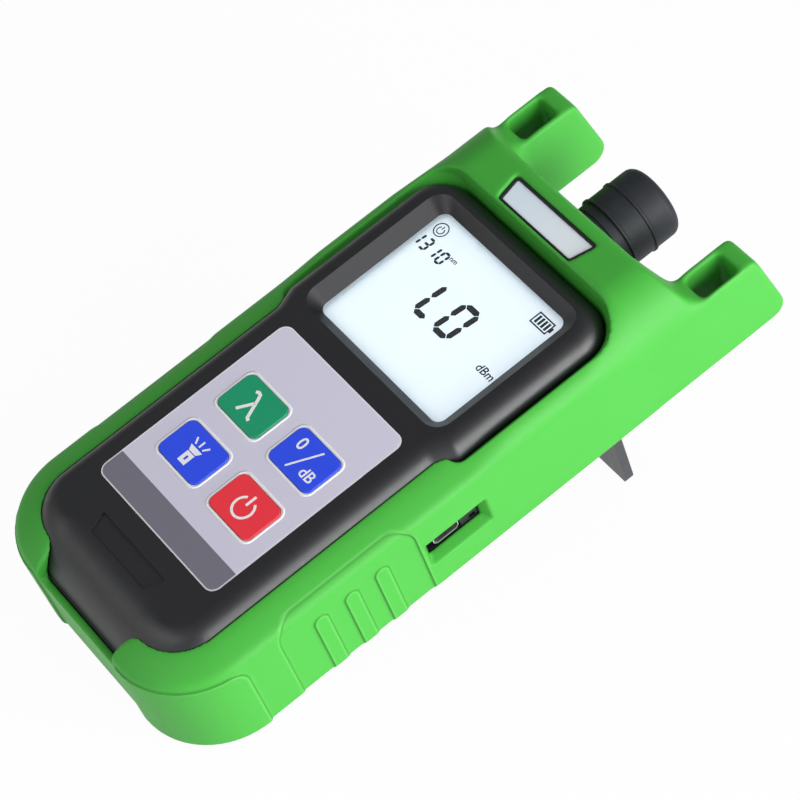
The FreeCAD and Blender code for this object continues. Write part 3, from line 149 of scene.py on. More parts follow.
class Finish:
    """The material of one finish, written node by node."""

    def __init__(self, name):
        self.material = bpy.data.materials.new(name)
        self.material.use_nodes = True
        self.tree = self.material.node_tree
        self.tree.nodes.clear()
        self.place = self.node("ShaderNodeTexCoord", out="Object")

    def node(self, kind, settings=None, sockets=None, out=0):
        """Add any node: its settings first, then the values or links of its sockets."""
        made = self.tree.nodes.new(kind)
        for key, value in (settings or {}).items():
            setattr(made, key, value)
        for key, value in (sockets or {}).items():
            entry = made.inputs[key]
            if isinstance(value, Socket):
                self.tree.links.new(value.link, entry)
            elif isinstance(value, tuple) and len(value) == 3 and entry.type == "RGBA":
                entry.default_value = (*value, 1.0)
            else:
                entry.default_value = value
        return Socket(self, made.outputs[out])

    def noise(self, per_mm, detail=2.0, stretch=None, rough=0.5):
        """Smooth noise from 0 to 1 with so many bumps to the millimetre."""
        place = self.place
        if stretch:
            place = self.node("ShaderNodeMapping", None, {"Vector": place, "Scale": stretch})
        return self.node("ShaderNodeTexNoise", None,
                         {"Vector": place, "Scale": per_mm / MM, "Detail": detail, "Roughness": rough})

    def blend(self, factor, first, second):
        """Colour between two others."""
        return self.node("ShaderNodeMix", {"data_type": "RGBA"}, {0: factor, 6: first, 7: second}, 2)

    def meter_axes(self):
        """The place on the meter in its own frame, in millimetres: across, along, out."""
        parts = self.node("ShaderNodeSeparateXYZ", None, {"Vector": self.place})
        outputs = parts.link.node.outputs
        across, y, z = (Socket(self, outputs[i]) for i in range(3))
        y, z = (y - SHIFT.y) / MM, (z - SHIFT.z) / MM
        cos, sin = math.cos(LEAN), math.sin(LEAN)
        return across / MM, y * cos + z * sin, z * cos - y * sin

    def field(self, u, v, u0, u1, v0, v1, radius):
        """Distance to the edge of a rounded field, below 0 inside it."""
        du = (u - (u0 + u1) / 2).size() - ((u1 - u0) / 2 - radius)
        dv = (v - (v0 + v1) / 2).size() - ((v1 - v0) / 2 - radius)
        a, b = du.most(0.0), dv.most(0.0)
        return (a * a + b * b) ** 0.5 + du.most(dv).least(0.0) - radius

    def relief(self, height, depth_mm, under=None):
        """Bumps of a height pattern from 0 to 1, so many millimetres deep."""
        sockets = {"Height": height, "Distance": depth_mm * MM, "Strength": 1.0}
        if under:
            sockets["Normal"] = under
        return self.node("ShaderNodeBump", None, sockets)

    def close(self, **sockets):
        """The surface shader; an underscore in a name stands for a space."""
        named = {key.replace("_", " "): value for key, value in sockets.items()}
        shader = self.node("ShaderNodeBsdfPrincipled", None, named)
        return self.show(shader)

    def show(self, shader):
        out = self.tree.nodes.new("ShaderNodeOutputMaterial")
        self.tree.links.new(shader.link, out.inputs["Surface"])
        return self.material


def tinted(colour, gain):
    return tuple(min(1.0, c * gain) for c in colour)


def moulded(name, colour, roughness, grain=6.0, depth=0.012, patch=0.10, **constants):
    """Moulded plastic or rubber: a spark-eroded grain, faint flow patches and handling marks."""
    f = Finish(name)
    flow = f.noise(0.05, 3.0)
    fine = f.noise(grain, 2.0)
    rubbed = f.noise(0.35, 4.0, rough=0.6).ramp(0.50, 0.72)
    body = f.blend(flow, tinted(colour, 1.0 - patch), tinted(colour, 1.0 + patch))
    body = f.blend(fine * 0.15, body, tinted(colour, 1.5))
    gloss = roughness + (fine - 0.5) * 0.10 - rubbed * 0.05
    return f.close(Base_Color=body, Roughness=gloss, Normal=f.relief(fine, depth), **constants)


def metal(name, colour, roughness, lines=(1.0, 14.0, 14.0), depth=0.003):
    """Worked metal: fine drawn lines, a few duller patches."""
    f = Finish(name)
    drawn = f.noise(1.5, 3.0, lines)
    dull = f.noise(0.25, 3.0).ramp(0.4, 0.7)
    body = f.blend(drawn, tinted(colour, 0.82), tinted(colour, 1.08))
    body = f.blend(dull * 0.35, body, tinted(colour, 0.6))
    gloss = roughness + (drawn - 0.5) * 0.12 + dull * 0.10
    return f.close(Base_Color=body, Roughness=gloss, Metallic=1.0, Normal=f.relief(drawn, depth))


def boot_silicone():
    """Soft satin silicone: fine pebble, faint cloudiness, crisp moulded edges round its fields, with
    painted shade along the foot of each edge and a painted highlight along its top.
    """
    f = Finish("boot_silicone")
    green = (0.056, 0.410, 0.044)
    cloud = f.noise(0.03, 3.0)
    pebble = f.noise(3.2, 3.0, rough=0.55)
    dust = f.noise(0.9, 5.0, rough=0.7).ramp(0.62, 0.80)
    body = f.blend(cloud, tinted(green, 0.95), tinted(green, 1.05))
    body = f.blend(pebble * 0.10, body, (0.10, 0.50, 0.08))
    body = f.blend(dust * 0.04, body, (0.45, 0.80, 0.40))
    across, along, out = f.meter_axes()
    sunk = f.field(along, out, *GRIP)
    for y in RIB_YS:
        rib = f.field(along, out, y - RIB_HALF, y + RIB_HALF, PAST_BACK, RIB_TOP, RIB_HALF)
        sunk = sunk.most(-rib)
    panel = f.field(along, out, *EAR_PANEL).most(EAR_PANEL_INNER - across.size())
    wall = across.size().ramp(BOOT_HALF - 3.1, BOOT_HALF - 2.6)
    # painted shade: a dark line along the foot of each step round the grip, its ribs and the ear panels
    step_shade_line = (sunk + 0.16).size().ramp(0.42, 0.06) * wall
    foot = (panel - 0.16).size().ramp(0.42, 0.06)
    body = f.blend(step_shade_line.most(foot) * 0.34, body, tinted(green, 0.30))
    # painted highlight: a pale line along the top of each of those steps
    step_highlight_line = (sunk - 0.40).size().ramp(0.45, 0.10) * wall
    panel_highlight_line = (panel + 0.40).size().ramp(0.45, 0.10)
    body = f.blend(step_highlight_line.most(panel_highlight_line) * 0.25, body, (0.15, 0.60, 0.12))
    step = panel.ramp(0.22, -0.22) - sunk.ramp(0.22, -0.22) * wall
    gloss = 0.54 + (pebble - 0.5) * 0.14 + dust * 0.08
    wave = f.relief(f.noise(0.12, 2.0), 0.05)
    edged = f.relief(step, 0.22, wave)
    return f.close(Base_Color=body, Roughness=gloss, Normal=f.relief(pebble, 0.010, edged),
                   Specular_IOR_Level=0.35)


def panel_film():
    """Printed film over the keypad: pale lavender, a darker band at its foot, a pale cut edge."""
    f = Finish("panel_film")
    across, along, _ = f.meter_axes()
    pale = (0.715, 0.695, 0.840)
    weave = f.noise(5.0, 2.0)
    drift = f.noise(0.02, 2.0)
    fade = along.ramp(-84.0, -30.0)
    body = f.blend(fade, tinted(pale, 0.97), tinted(pale, 1.04))
    body = f.blend(drift * 0.3, body, tinted(pale, 0.94))
    band = along.ramp(TITLE_TOP + 0.06, TITLE_TOP - 0.06)
    body = f.blend(band, body, (0.165, 0.158, 0.205))
    edge = f.field(across, along, -LABEL_HALF, LABEL_HALF, LABEL_BOTTOM, LABEL_TOP, LABEL_R)
    edge = edge.ramp(-0.42, -0.30)
    body = f.blend(edge * 0.7, body, (0.92, 0.92, 0.95))
    body = f.blend(weave * 0.08, body, (0.85, 0.84, 0.92))
    return f.close(Base_Color=body, Roughness=0.42 + (weave - 0.5) * 0.10, Normal=f.relief(weave, 0.004))


def label_film():
    """Plain film of the name label, brighter towards one end."""
    f = Finish("label_film")
    across, _, _ = f.meter_axes()
    shade = across.ramp(-14.0, 14.0)
    weave = f.noise(5.0, 2.0)
    body = f.blend(shade, (0.78, 0.89, 1.0), (0.88, 0.95, 1.0))
    body = f.blend(weave * 0.10, body, (0.92, 0.94, 0.98))
    return f.close(Base_Color=body, Roughness=0.36 + (weave - 0.5) * 0.12, Normal=f.relief(weave, 0.004))


def cell_glass():
    """Liquid crystal cell: an even pale ground with a painted glow, painted shade at its edges, faint dot
    pattern.
    """
    f = Finish("cell_glass")
    across, along, _ = f.meter_axes()
    # painted shade: darker towards the edges of the cell, under the walls of its opening
    side = across.size().ramp(21.5, 24.6)
    end = along.size().ramp(17.3, 20.4)
    rim = side.most(end)
    cloud = f.noise(0.05, 2.0)
    dots = f.noise(7.0, 1.0)
    lit = f.blend(cloud * 0.5 + dots * 0.1, (0.76, 0.85, 0.92), (0.81, 0.89, 0.96))
    lit = f.blend(rim * 0.55, lit, (0.50, 0.60, 0.66))
    # painted glow: the cell gives off its own pale colour as light
    return f.close(Base_Color=lit, Roughness=0.34 + (dots - 0.5) * 0.1, Emission_Color=lit,
                   Emission_Strength=0.38, Specular_IOR_Level=0.3)


def window_clear():
    """Polished clear window with a trace of handling marks."""
    f = Finish("window_clear")
    haze = f.noise(0.4, 4.0, rough=0.65).ramp(0.5, 0.8)
    return f.close(Base_Color=f.blend(haze, (0.97, 0.985, 0.99), (0.93, 0.95, 0.96)),
                   Roughness=haze * 0.02, Transmission_Weight=1.0, IOR=1.40, Specular_IOR_Level=0.25)


def board_laminate():
    """Green solder mask over copper: broad tracks show as slightly raised, paler lines."""
    f = Finish("board_laminate")
    tracks = f.node("ShaderNodeTexBrick", {"offset": 0.5},
                    {"Vector": f.place, "Scale": 0.22 / MM, "Mortar Size": 0.03, "Color1": (0.0, 0.0, 0.0),
                     "Color2": (0.0, 0.0, 0.0), "Mortar": (1.0, 1.0, 1.0)}, 1)
    fibre = f.noise(3.0, 3.0, (1.0, 4.0, 1.0))
    body = f.blend(tracks * 0.8, (0.012, 0.150, 0.060), (0.030, 0.260, 0.110))
    body = f.blend(fibre * 0.15, body, (0.02, 0.10, 0.04))
    return f.close(Base_Color=body, Roughness=0.32 + fibre * 0.08, Normal=f.relief(tracks, 0.03))


def cap_rubber():
    """Dull rubber of the dust cap: pale bloom in patches, fine turned lines."""
    f = Finish("cap_rubber")
    _, along, _ = f.meter_axes()
    bloom = f.noise(0.5, 5.0, rough=0.7).ramp(0.42, 0.75)
    fine = f.noise(4.5, 3.0)
    lines = (along * 9.0).sine() * 0.5 + 0.5
    body = f.blend(bloom * 0.5, (0.016, 0.018, 0.023), (0.030, 0.034, 0.041))
    body = f.blend(fine * 0.2, body, (0.055, 0.060, 0.070))
    turned = f.relief(lines, 0.006)
    return f.close(Base_Color=body, Roughness=0.56 + bloom * 0.10 + (fine - 0.5) * 0.08,
                   Normal=f.relief(fine, 0.014, turned), Specular_IOR_Level=0.35)


def key_rubber(name, colour):
    """Satin key: hard-coated, faint orange peel."""
    f = Finish(name)
    peel = f.noise(1.1, 2.0)
    fine = f.noise(5.0, 2.0)
    body = f.blend(peel, tinted(colour, 0.94), tinted(colour, 1.06))
    body = f.blend(fine * 0.08, body, tinted(colour, 1.5))
    gloss = 0.38 + (fine - 0.5) * 0.10
    return f.close(Base_Color=body, Roughness=gloss, Normal=f.relief(peel, 0.010), Coat_Weight=0.12,
                   Coat_Roughness=0.25)


def lamp_epoxy():
    """Water-clear lamp body, milky in patches."""
    f = Finish("lamp_epoxy")
    cloud = f.noise(0.6, 3.0)
    return f.close(Base_Color=f.blend(cloud, (0.86, 0.89, 0.93), (0.72, 0.77, 0.84)),
                   Roughness=0.05 + cloud * 0.05, Transmission_Weight=0.75, IOR=1.53)


def printed_ink(name, colour, shine=0.4):
    """Screen-printed ink: a faint mesh pattern and uneven cover."""
    f = Finish(name)
    mesh = f.noise(8.0, 1.0)
    cover = f.noise(1.5, 3.0)
    body = f.blend(cover, tinted(colour, 0.94), tinted(colour, 1.04))
    return f.close(Base_Color=body, Roughness=0.45 + (mesh - 0.5) * 0.12, Normal=f.relief(mesh, 0.004),
                   Specular_IOR_Level=shine)


FINISHES = {
    "boot_silicone": boot_silicone(),
    "case_plastic": moulded("case_plastic", (0.0085, 0.009, 0.0115), 0.46, 5.0, 0.008, 0.12,
                            Specular_IOR_Level=0.75),
    "window_clear": window_clear(),
    "cell_glass": cell_glass(),
    "diffuser_white": moulded("diffuser_white", (0.80, 0.82, 0.84), 0.55, 3.0, 0.004, 0.03),
    "connector_rubber": moulded("connector_rubber", (0.42, 0.16, 0.20), 0.6, 4.0, 0.01),
    "panel_film": panel_film(),
    "dome_steel": metal("dome_steel", (0.74, 0.74, 0.76), 0.28),
    "label_film": label_film(),
    "board_laminate": board_laminate(),
    "screw_steel": metal("screw_steel", (0.60, 0.60, 0.62), 0.34),
    "chip_plastic": moulded("chip_plastic", (0.020, 0.020, 0.022), 0.5, 5.0, 0.01),
    "battery_film": moulded("battery_film", (0.03, 0.09, 0.30), 0.25, 0.6, 0.02, 0.08),
    "socket_steel": metal("socket_steel", (0.86, 0.86, 0.88), 0.40),
    "socket_plastic": moulded("socket_plastic", (0.010, 0.010, 0.012), 0.45, 5.0, 0.006),
    "contact_gold": metal("contact_gold", (1.0, 0.70, 0.28), 0.40),
    "adapter_metal": metal("adapter_metal", (0.76, 0.76, 0.77), 0.20, (14.0, 1.0, 14.0), 0.002),
    "ferrule_ceramic": moulded("ferrule_ceramic", (0.86, 0.85, 0.82), 0.22, 5.0, 0.002, 0.03),
    "detector_can": metal("detector_can", (0.80, 0.68, 0.42), 0.26),
    "lamp_epoxy": lamp_epoxy(),
    "cap_rubber": cap_rubber(),
    "stand_plastic": moulded("stand_plastic", (0.036, 0.039, 0.044), 0.46, 4.0, 0.014, 0.12),
    "pin_steel": metal("pin_steel", (0.55, 0.55, 0.57), 0.25),
    "key_green": key_rubber("key_green", (0.008, 0.350, 0.165)),
    "key_blue": key_rubber("key_blue", (0.028, 0.085, 0.960)),
    "key_red": key_rubber("key_red", (0.990, 0.040, 0.062)),
}
WHITE_INK = printed_ink("white_ink", (0.95, 0.96, 0.99))
DISPLAY_INK = printed_ink("display_ink", (0.004, 0.004, 0.006), 0.05)

for part in frame["record"]["subparts"]:
    node = frame["nodes"][part["node"]]
    if not node.data.materials:
        node.data.materials.append(None)
    for slot in node.material_slots:
        slot.material = FINISHES[part["material_slot"]]


# ---------------------------------------------------------------- making and placing pieces


def piece(name, mesh, finish, body):
    """A finished piece: its mesh already in the row frame, riding on a body."""
    made = bpy.data.objects.new(name, mesh)
    bpy.context.scene.collection.objects.link(made)
    mesh.materials.clear()
    mesh.materials.append(finish)
    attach(made, body)
    return made


def evaluated_mesh(made):
    """The mesh that an object shows with its modifiers or its text; the object is removed."""
    bpy.context.view_layer.update()
    graph = bpy.context.evaluated_depsgraph_get()
    mesh = bpy.data.meshes.new_from_object(made.evaluated_get(graph), depsgraph=graph)
    bpy.data.objects.remove(made)
    return mesh


# ---------------------------------------------------------------- soft boot

BOOT_VOXEL, BOOT_TRIANGLES = 0.42, 194000
BOOT_PASSES, HOLLOW_PASSES = 14, 56
PASS_PULL = 0.5             # share of the way that one pass moves a point
# bar that fills out the thin web of the head band: half its length, its section along and out
WEB_HALF = 27.9
WEB = ((28.80, -4.6), (28.80, 1.4), (28.62, 1.4), (28.25, -1.0), (28.02, -3.4), (28.20, -4.6))

# how firmly the edges are kept, and where each kept zone fades in or out
WALL_FIRM, RIM_FIRM, SLOT_FIRM = 0.93, 0.80, 0.75
WALL_DOWN, WALL_ALONG = (5.0, 6.5), (14.0, 18.0)
RIM_ACROSS, RIM_ALONG, WINDOW_TOP = (35.6, 37.6), (28.0, 29.0), (37.5, 39.5)
EAR_ALONG, EAR_OUT, EAR_SOFTER = (100.0, 103.0), (-13.0, -11.0), 0.6
SLOT_AT, SLOT_HALF, SLOT_FADE, HORN_ALONG = (34.6, 53.9), (3.7, 5.6), (0.9, 1.6), (44.0, 46.0)

# the rim beside and below the keypad: its plane, how softly that cuts, and where it ends
RIM_SLOPE, RIM_TOP, RIM_WIDTH = math.radians(25.0), -2.5, 7.1
PLANE_SOFT, PLANE_SPARE = 1.2, 0.14
PLANE_DOWN, PLANE_ALONG = (-12.0, -9.0), (-24.0, -8.0)

# the deep hollow between the head band and each horn, along and out
HOLLOW_AT, HOLLOW_REACH, HOLLOW_ALONG, HOLLOW_GAIN = (45.2, -7.0), (3.0, 3.6), (40.5, 43.0), 1.3


def smooth_step(value, low, high):
    t = np.clip((value - low) / (high - low), 0.0, 1.0)
    return t * t * (3.0 - 2.0 * t)


def relaxed(points, edges, weight, passes):
    """Move points towards the middle of their neighbours, each by its own weight."""
    a, b = edges[:, 0], edges[:, 1]
    count = np.bincount(a, minlength=len(points)) + np.bincount(b, minlength=len(points))
    for _ in range(passes):
        middle = np.empty_like(points)
        for i in range(3):
            middle[:, i] = (np.bincount(a, points[b, i], len(points))
                            + np.bincount(b, points[a, i], len(points))) / count
        points = points + (middle - points) * (weight * PASS_PULL)[:, None]
    return points


def merge_corners(mesh):
    work = bmesh.new()
    work.from_mesh(mesh)
    bmesh.ops.remove_doubles(work, verts=work.verts, dist=1e-6)
    work.to_mesh(mesh)
    work.free()


def add_web(mesh):
    """A firmer web carries the head band down to its skirt, so the even mesh doesn't lose it."""
    work = bmesh.new()
    work.from_mesh(mesh)
    ends = [[work.verts.new(Vector((x, y, z)) * MM) for y, z in WEB] for x in (-WEB_HALF, WEB_HALF)]
    work.faces.new(ends[0])
    work.faces.new(ends[1][::-1])
    for i in range(len(WEB)):
        j = (i + 1) % len(WEB)
        work.faces.new((ends[0][j], ends[0][i], ends[1][i], ends[1][j]))
    work.to_mesh(mesh)
    work.free()


def modified(mesh, kind, **settings):
    """A mesh as one modifier leaves it."""
    block = bpy.data.objects.new("boot_block", mesh)
    bpy.context.scene.collection.objects.link(block)
    modifier = block.modifiers.new(kind.lower(), kind)
    for key, value in settings.items():
        setattr(modifier, key, value)
    return evaluated_mesh(block)


def read_mesh(mesh):
    """Points of a mesh in millimetres, and the two ends of each edge."""
    points = np.empty(len(mesh.vertices) * 3)
    mesh.vertices.foreach_get("co", points)
    edges = np.empty(len(mesh.edges) * 2, np.int64)
    mesh.edges.foreach_get("vertices", edges)
    return points.reshape(-1, 3) / MM, edges.reshape(-1, 2)


def firmness(x, y, z):
    """Walls, rims and slots keep their edges; ears and horns are softer."""
    wall = smooth_step(-z, *WALL_DOWN) * smooth_step(-y, *WALL_ALONG)
    window = 1.0 - smooth_step(np.abs(x), *RIM_ACROSS)
    rim = np.maximum(window, 1.0 - smooth_step(y, *RIM_ALONG)) * (1.0 - smooth_step(y, *WINDOW_TOP))
    rim = rim * (1.0 - EAR_SOFTER * smooth_step(-y, *EAR_ALONG) * smooth_step(z, *EAR_OUT))
    beside, beyond = np.abs(np.abs(x) - SLOT_AT[0]) - SLOT_HALF[0], np.abs(y - SLOT_AT[1]) - SLOT_HALF[1]
    slot = SLOT_FIRM * (1.0 - smooth_step(np.maximum(beside, beyond), *SLOT_FADE))
    return np.maximum(np.maximum(WALL_FIRM * wall, RIM_FIRM * rim), slot * smooth_step(y, *HORN_ALONG))


def planed(points):
    """The rim beside and below the keypad, planed to a slope that meets the outer wall."""
    x, y, z = points.T
    du, dv = np.abs(x) - (BOOT_HALF - CORNER_R), BOOT_FOOT + CORNER_R - y
    reach = np.hypot(np.maximum(du, 0.0), np.maximum(dv, 0.0))
    inside = CORNER_R - reach - np.minimum(np.maximum(du, dv), 0.0)
    over = math.sin(RIM_SLOPE) * (RIM_WIDTH - inside) + math.cos(RIM_SLOPE) * (z - RIM_TOP)
    over = (over + np.sqrt(over ** 2 + PLANE_SOFT)) / 2.0 - PLANE_SPARE
    over = np.maximum(over, 0.0) * smooth_step(z, *PLANE_DOWN) * (1.0 - smooth_step(y, *PLANE_ALONG))
    outwards = np.stack([np.sign(x) * np.maximum(du, 0.0), -np.maximum(dv, 0.0)]) / np.maximum(reach, 1e-6)
    outwards = np.where(inside < CORNER_R, outwards, 0.0) * math.sin(RIM_SLOPE)
    return points - over[:, None] * np.stack([*outwards, np.full(len(x), math.cos(RIM_SLOPE))], axis=1)


def hollowness(y, z):
    """How much more the hollow beside each horn is smoothed than the rest."""
    off_y, off_z = (y - HOLLOW_AT[0]) / HOLLOW_REACH[0], (z - HOLLOW_AT[1]) / HOLLOW_REACH[1]
    hollow = np.exp(-(off_y ** 2 + off_z ** 2)) * smooth_step(y, *HOLLOW_ALONG)
    return np.clip(hollow * HOLLOW_GAIN, 0.0, 1.0)


def make_boot():
    """The boot with the rounded edges and full hollows of moulded silicone."""
    skin = frame["nodes"]["protective_boot"].data.copy()
    merge_corners(skin)
    # the even mesh is made with the boot lying flat, so its straight rims stay straight
    skin.transform(ROW.inverted())
    add_web(skin)
    mesh = modified(skin, "REMESH", mode="VOXEL", voxel_size=BOOT_VOXEL * MM)
    points, edges = read_mesh(mesh)
    points = relaxed(points, edges, 1.0 - firmness(*points.T), BOOT_PASSES)
    points = planed(points)
    points = relaxed(points, edges, hollowness(points[:, 1], points[:, 2]), HOLLOW_PASSES)
    mesh.vertices.foreach_set("co", (points * MM).ravel())
    mesh.transform(ROW)
    mesh = modified(mesh, "DECIMATE", ratio=BOOT_TRIANGLES / (2.0 * len(mesh.polygons)))
    mesh.shade_smooth()
    boot = piece("boot_skin", mesh, FINISHES["boot_silicone"], "meter_body")
    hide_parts("protective_boot")


make_boot()


# ---------------------------------------------------------------- printed marks


class Marks:
    """Flat marks gathered into one mesh: drawn in x and y, standing on a height."""

    def __init__(self, z, x=0.0, y=0.0, slant=0.0):
        self.work = bmesh.new()
        self.low, self.high = z - PRINT_SINK, z + PRINT_T
        self.x, self.y, self.slant = x, y, slant

    def corner(self, u, v, z):
        return self.work.verts.new((self.x + u + self.slant * v, self.y + v, z))

    def tile(self, points):
        """Solid mark inside an outline."""
        low = [self.corner(u, v, self.low) for u, v in points]
        high = [self.corner(u, v, self.high) for u, v in points]
        self.work.faces.new(high)
        self.work.faces.new(low[::-1])
        for i in range(len(points)):
            j = (i + 1) % len(points)
            self.work.faces.new((low[i], low[j], high[j], high[i]))

    def bar(self, x0, y0, x1, y1):
        self.tile([(x0, y0), (x1, y0), (x1, y1), (x0, y1)])

    def line(self, points, width, closed=False):
        """Line of even width through points, mitred at its corners."""
        path = [Vector(p) for p in points]
        rails = []
        for i, here in enumerate(path):
            before = path[i - 1] if i or closed else None
            after = path[(i + 1) % len(path)] if i + 1 < len(path) or closed else None
            ways = [(here - before).normalized()] if before is not None else []
            ways += [(after - here).normalized()] if after is not None else []
            way = sum(ways, Vector((0.0, 0.0))).normalized()
            side = Vector((-way.y, way.x))
            reach = width / 2 / max(MITRE_LEAST, side.dot(Vector((-ways[0].y, ways[0].x))))
            spots = (here + side * reach, here - side * reach)
            rails.append([self.corner(*p, z) for p in spots for z in (self.low, self.high)])
        count = len(rails) if closed else len(rails) - 1
        for i in range(count):
            a, b = rails[i], rails[(i + 1) % len(rails)]
            for p, q in ((0, 1), (1, 3), (3, 2), (2, 0)):
                self.work.faces.new((a[p], a[q], b[q], b[p]))
        if not closed:
            for end in (rails[0], rails[-1]):
                self.work.faces.new((end[0], end[1], end[3], end[2]))

    def arc(self, u, v, radius, start, stop, width, steps=36):
        """Arc line between two angles in degrees."""
        whole = abs(stop - start) >= 360.0
        angles = [math.radians(start + (stop - start) * i / steps) for i in range(steps + (not whole))]
        self.line([(u + radius * math.cos(a), v + radius * math.sin(a)) for a in angles], width, whole)

    def letters(self, text, u, v, size):
        """Plain letters, centred on (u, v)."""
        curve = bpy.data.curves.new("letters", "FONT")
        curve.body = text
        curve.size = size
        curve.align_x = "CENTER"
        curve.align_y = "CENTER"
        curve.extrude = (self.high - self.low) / 2
        curve.offset = LETTER_BOLD * size
        curve.resolution_u = 3
        made = bpy.data.objects.new("letters", curve)
        bpy.context.scene.collection.objects.link(made)
        mesh = evaluated_mesh(made)
        middle = (self.high + self.low) / 2
        for point in mesh.vertices:
            p, q, z = point.co
            point.co = (self.x + u + p + self.slant * (v + q), self.y + v + q, middle + z)
        self.work.from_mesh(mesh)
        bpy.data.meshes.remove(mesh)

    def mesh(self, name):
        bmesh.ops.remove_doubles(self.work, verts=self.work.verts, dist=1e-5)
        bmesh.ops.recalc_face_normals(self.work, faces=self.work.faces)
        mesh = bpy.data.meshes.new(name)
        self.work.to_mesh(mesh)
        self.work.free()
        mesh.transform(ROW @ Matrix.Scale(MM, 4))
        return mesh


# Which of the seven strokes each figure lights: top, upper right, lower right, foot, lower left,
# upper left, middle.
STROKES = {"0": "abcdef", "1": "bc", "3": "abcdg", "L": "def"}


def figure(marks, letter, u, v, width, height, stroke):
    """Seven-stroke figure, its lower left corner at (u, v)."""
    half, gap = stroke / 2, stroke * STROKE_GAP
    x0, x1 = u + half, u + width - half
    y0, y1, y2 = v + half, v + height / 2, v + height - half
    ends = {"a": ((x0, y2), (x1, y2)), "b": ((x1, y2), (x1, y1)), "c": ((x1, y1), (x1, y0)),
            "d": ((x1, y0), (x0, y0)), "e": ((x0, y0), (x0, y1)), "f": ((x0, y1), (x0, y2)),
            "g": ((x0, y1), (x1, y1))}
    for name in STROKES[letter]:
        start, stop = (Vector(p) for p in ends[name])
        way = (stop - start).normalized()
        side = Vector((-way.y, way.x)) * half
        start, stop = start + way * gap, stop - way * gap
        marks.tile([start, start + way * half + side, stop - way * half + side, stop,
                    stop - way * half - side, start + way * half - side])


def make_display_marks():
    """Reading of the display: a wavelength, the level, their units, a battery and a timer sign."""
    marks = Marks(CELL_TOP, slant=FIGURE_SLANT)
    x, y = WAVELENGTH_AT
    for i, letter in enumerate("1310"):
        figure(marks, letter, x + WAVELENGTH_PITCH * i, y, 2.4, 4.2, 0.68)
    marks.letters("nm", -12.6, 12.2, 2.0)
    figure(marks, "L", -7.95, LEVEL_FOOT, 5.9, LEVEL_H, LEVEL_STROKE)
    figure(marks, "0", -0.3, LEVEL_FOOT, 6.5, LEVEL_H, LEVEL_STROKE)
    marks.letters("dBm", 20.0, -2.4, 3.2)
    marks.slant = 0.0
    x, y = TIMER_AT
    marks.arc(x, y, TIMER_R, 0, 360, 0.32)
    marks.arc(x, y - 0.2, 1.00, 125, 415, 0.30)
    marks.line([(x, y + 0.1), (x, y + 1.2)], 0.32)
    left, foot, right, top = BATTERY_SIGN
    marks.line([(left, foot), (right, foot), (right, top), (left, top)], 0.40, True)
    marks.bar(right + 0.2, foot + 0.9, right + 0.8, top - 0.9)
    piece("display_marks", marks.mesh("display_marks"), DISPLAY_INK, "meter_body")


def repeated(name, build, inputs, place, finish, body):
    """Run a geometry node tree with its named inputs and keep the plain mesh."""
    tree = bpy.data.node_groups.new(name, "GeometryNodeTree")
    tree.interface.new_socket("Geometry", in_out="OUTPUT", socket_type="NodeSocketGeometry")
    for key, value in inputs.items():
        kind = "NodeSocketInt" if isinstance(value, int) else "NodeSocketFloat"
        tree.interface.new_socket(key, in_out="INPUT", socket_type=kind).default_value = value
    given = tree.nodes.new("NodeGroupInput")

    def add(kind, settings=None, sockets=None):
        made = tree.nodes.new(kind)
        for key, value in (settings or {}).items():
            setattr(made, key, value)
        for key, value in (sockets or {}).items():
            if isinstance(value, str):
                tree.links.new(given.outputs[value], made.inputs[key])
            elif isinstance(value, bpy.types.NodeSocket):
                tree.links.new(value, made.inputs[key])
            else:
                made.inputs[key].default_value = value
        return made

    laid = build(add)
    real = add("GeometryNodeRealizeInstances", None, {"Geometry": laid})
    coated = add("GeometryNodeSetMaterial", None, {"Geometry": real.outputs[0], "Material": finish})
    output = tree.nodes.new("NodeGroupOutput")
    tree.links.new(coated.outputs[0], output.inputs[0])
    block = bpy.data.objects.new(name, bpy.data.meshes.new(name))
    bpy.context.scene.collection.objects.link(block)
    block.modifiers.new("repeat", "NODES").node_group = tree
    mesh = evaluated_mesh(block)
    mesh.transform(ROW @ Matrix.Scale(MM, 4) @ Matrix.Translation(place))
    return piece(name, mesh, finish, body)


def key_lines(add):
    """A rounded line round each key, at the corners of a grid."""
    loop = add("GeometryNodeCurvePrimitiveQuadrilateral", None, {"Width": "Width", "Height": "Height"})
    rounded = add("GeometryNodeFilletCurve", {"mode": "POLY"},
                  {"Curve": loop.outputs[0], "Radius": "Corner", "Count": 8})
    section = add("GeometryNodeCurvePrimitiveQuadrilateral", None, {"Width": "Line", "Height": "Thickness"})
    line = add("GeometryNodeCurveToMesh", None, {"Curve": rounded.outputs[0],
                                                 "Profile Curve": section.outputs[0]})
    grid = add("GeometryNodeMeshGrid", None, {"Size X": "Across", "Size Y": "Along",
                                              "Vertices X": 2, "Vertices Y": 2})
    laid = add("GeometryNodeInstanceOnPoints", None, {"Points": grid.outputs[0],
                                                      "Instance": line.outputs[0]})
    return laid.outputs[0]


def battery_bars(add):
    """Bars of the battery sign, side by side."""
    bar = add("GeometryNodeMeshCube", None, {"Size": (1.0, 1.0, 1.0)})
    size = add("ShaderNodeCombineXYZ", None, {"X": "Bar", "Y": "Height", "Z": "Thickness"})
    step = add("ShaderNodeCombineXYZ", None, {"X": "Pitch"})
    row = add("GeometryNodeMeshLine", None, {"Count": "Bars", "Offset": step.outputs[0]})
    laid = add("GeometryNodeInstanceOnPoints", None, {"Points": row.outputs[0], "Instance": bar.outputs[0],
                                                      "Scale": size.outputs[0]})
    return laid.outputs[0]


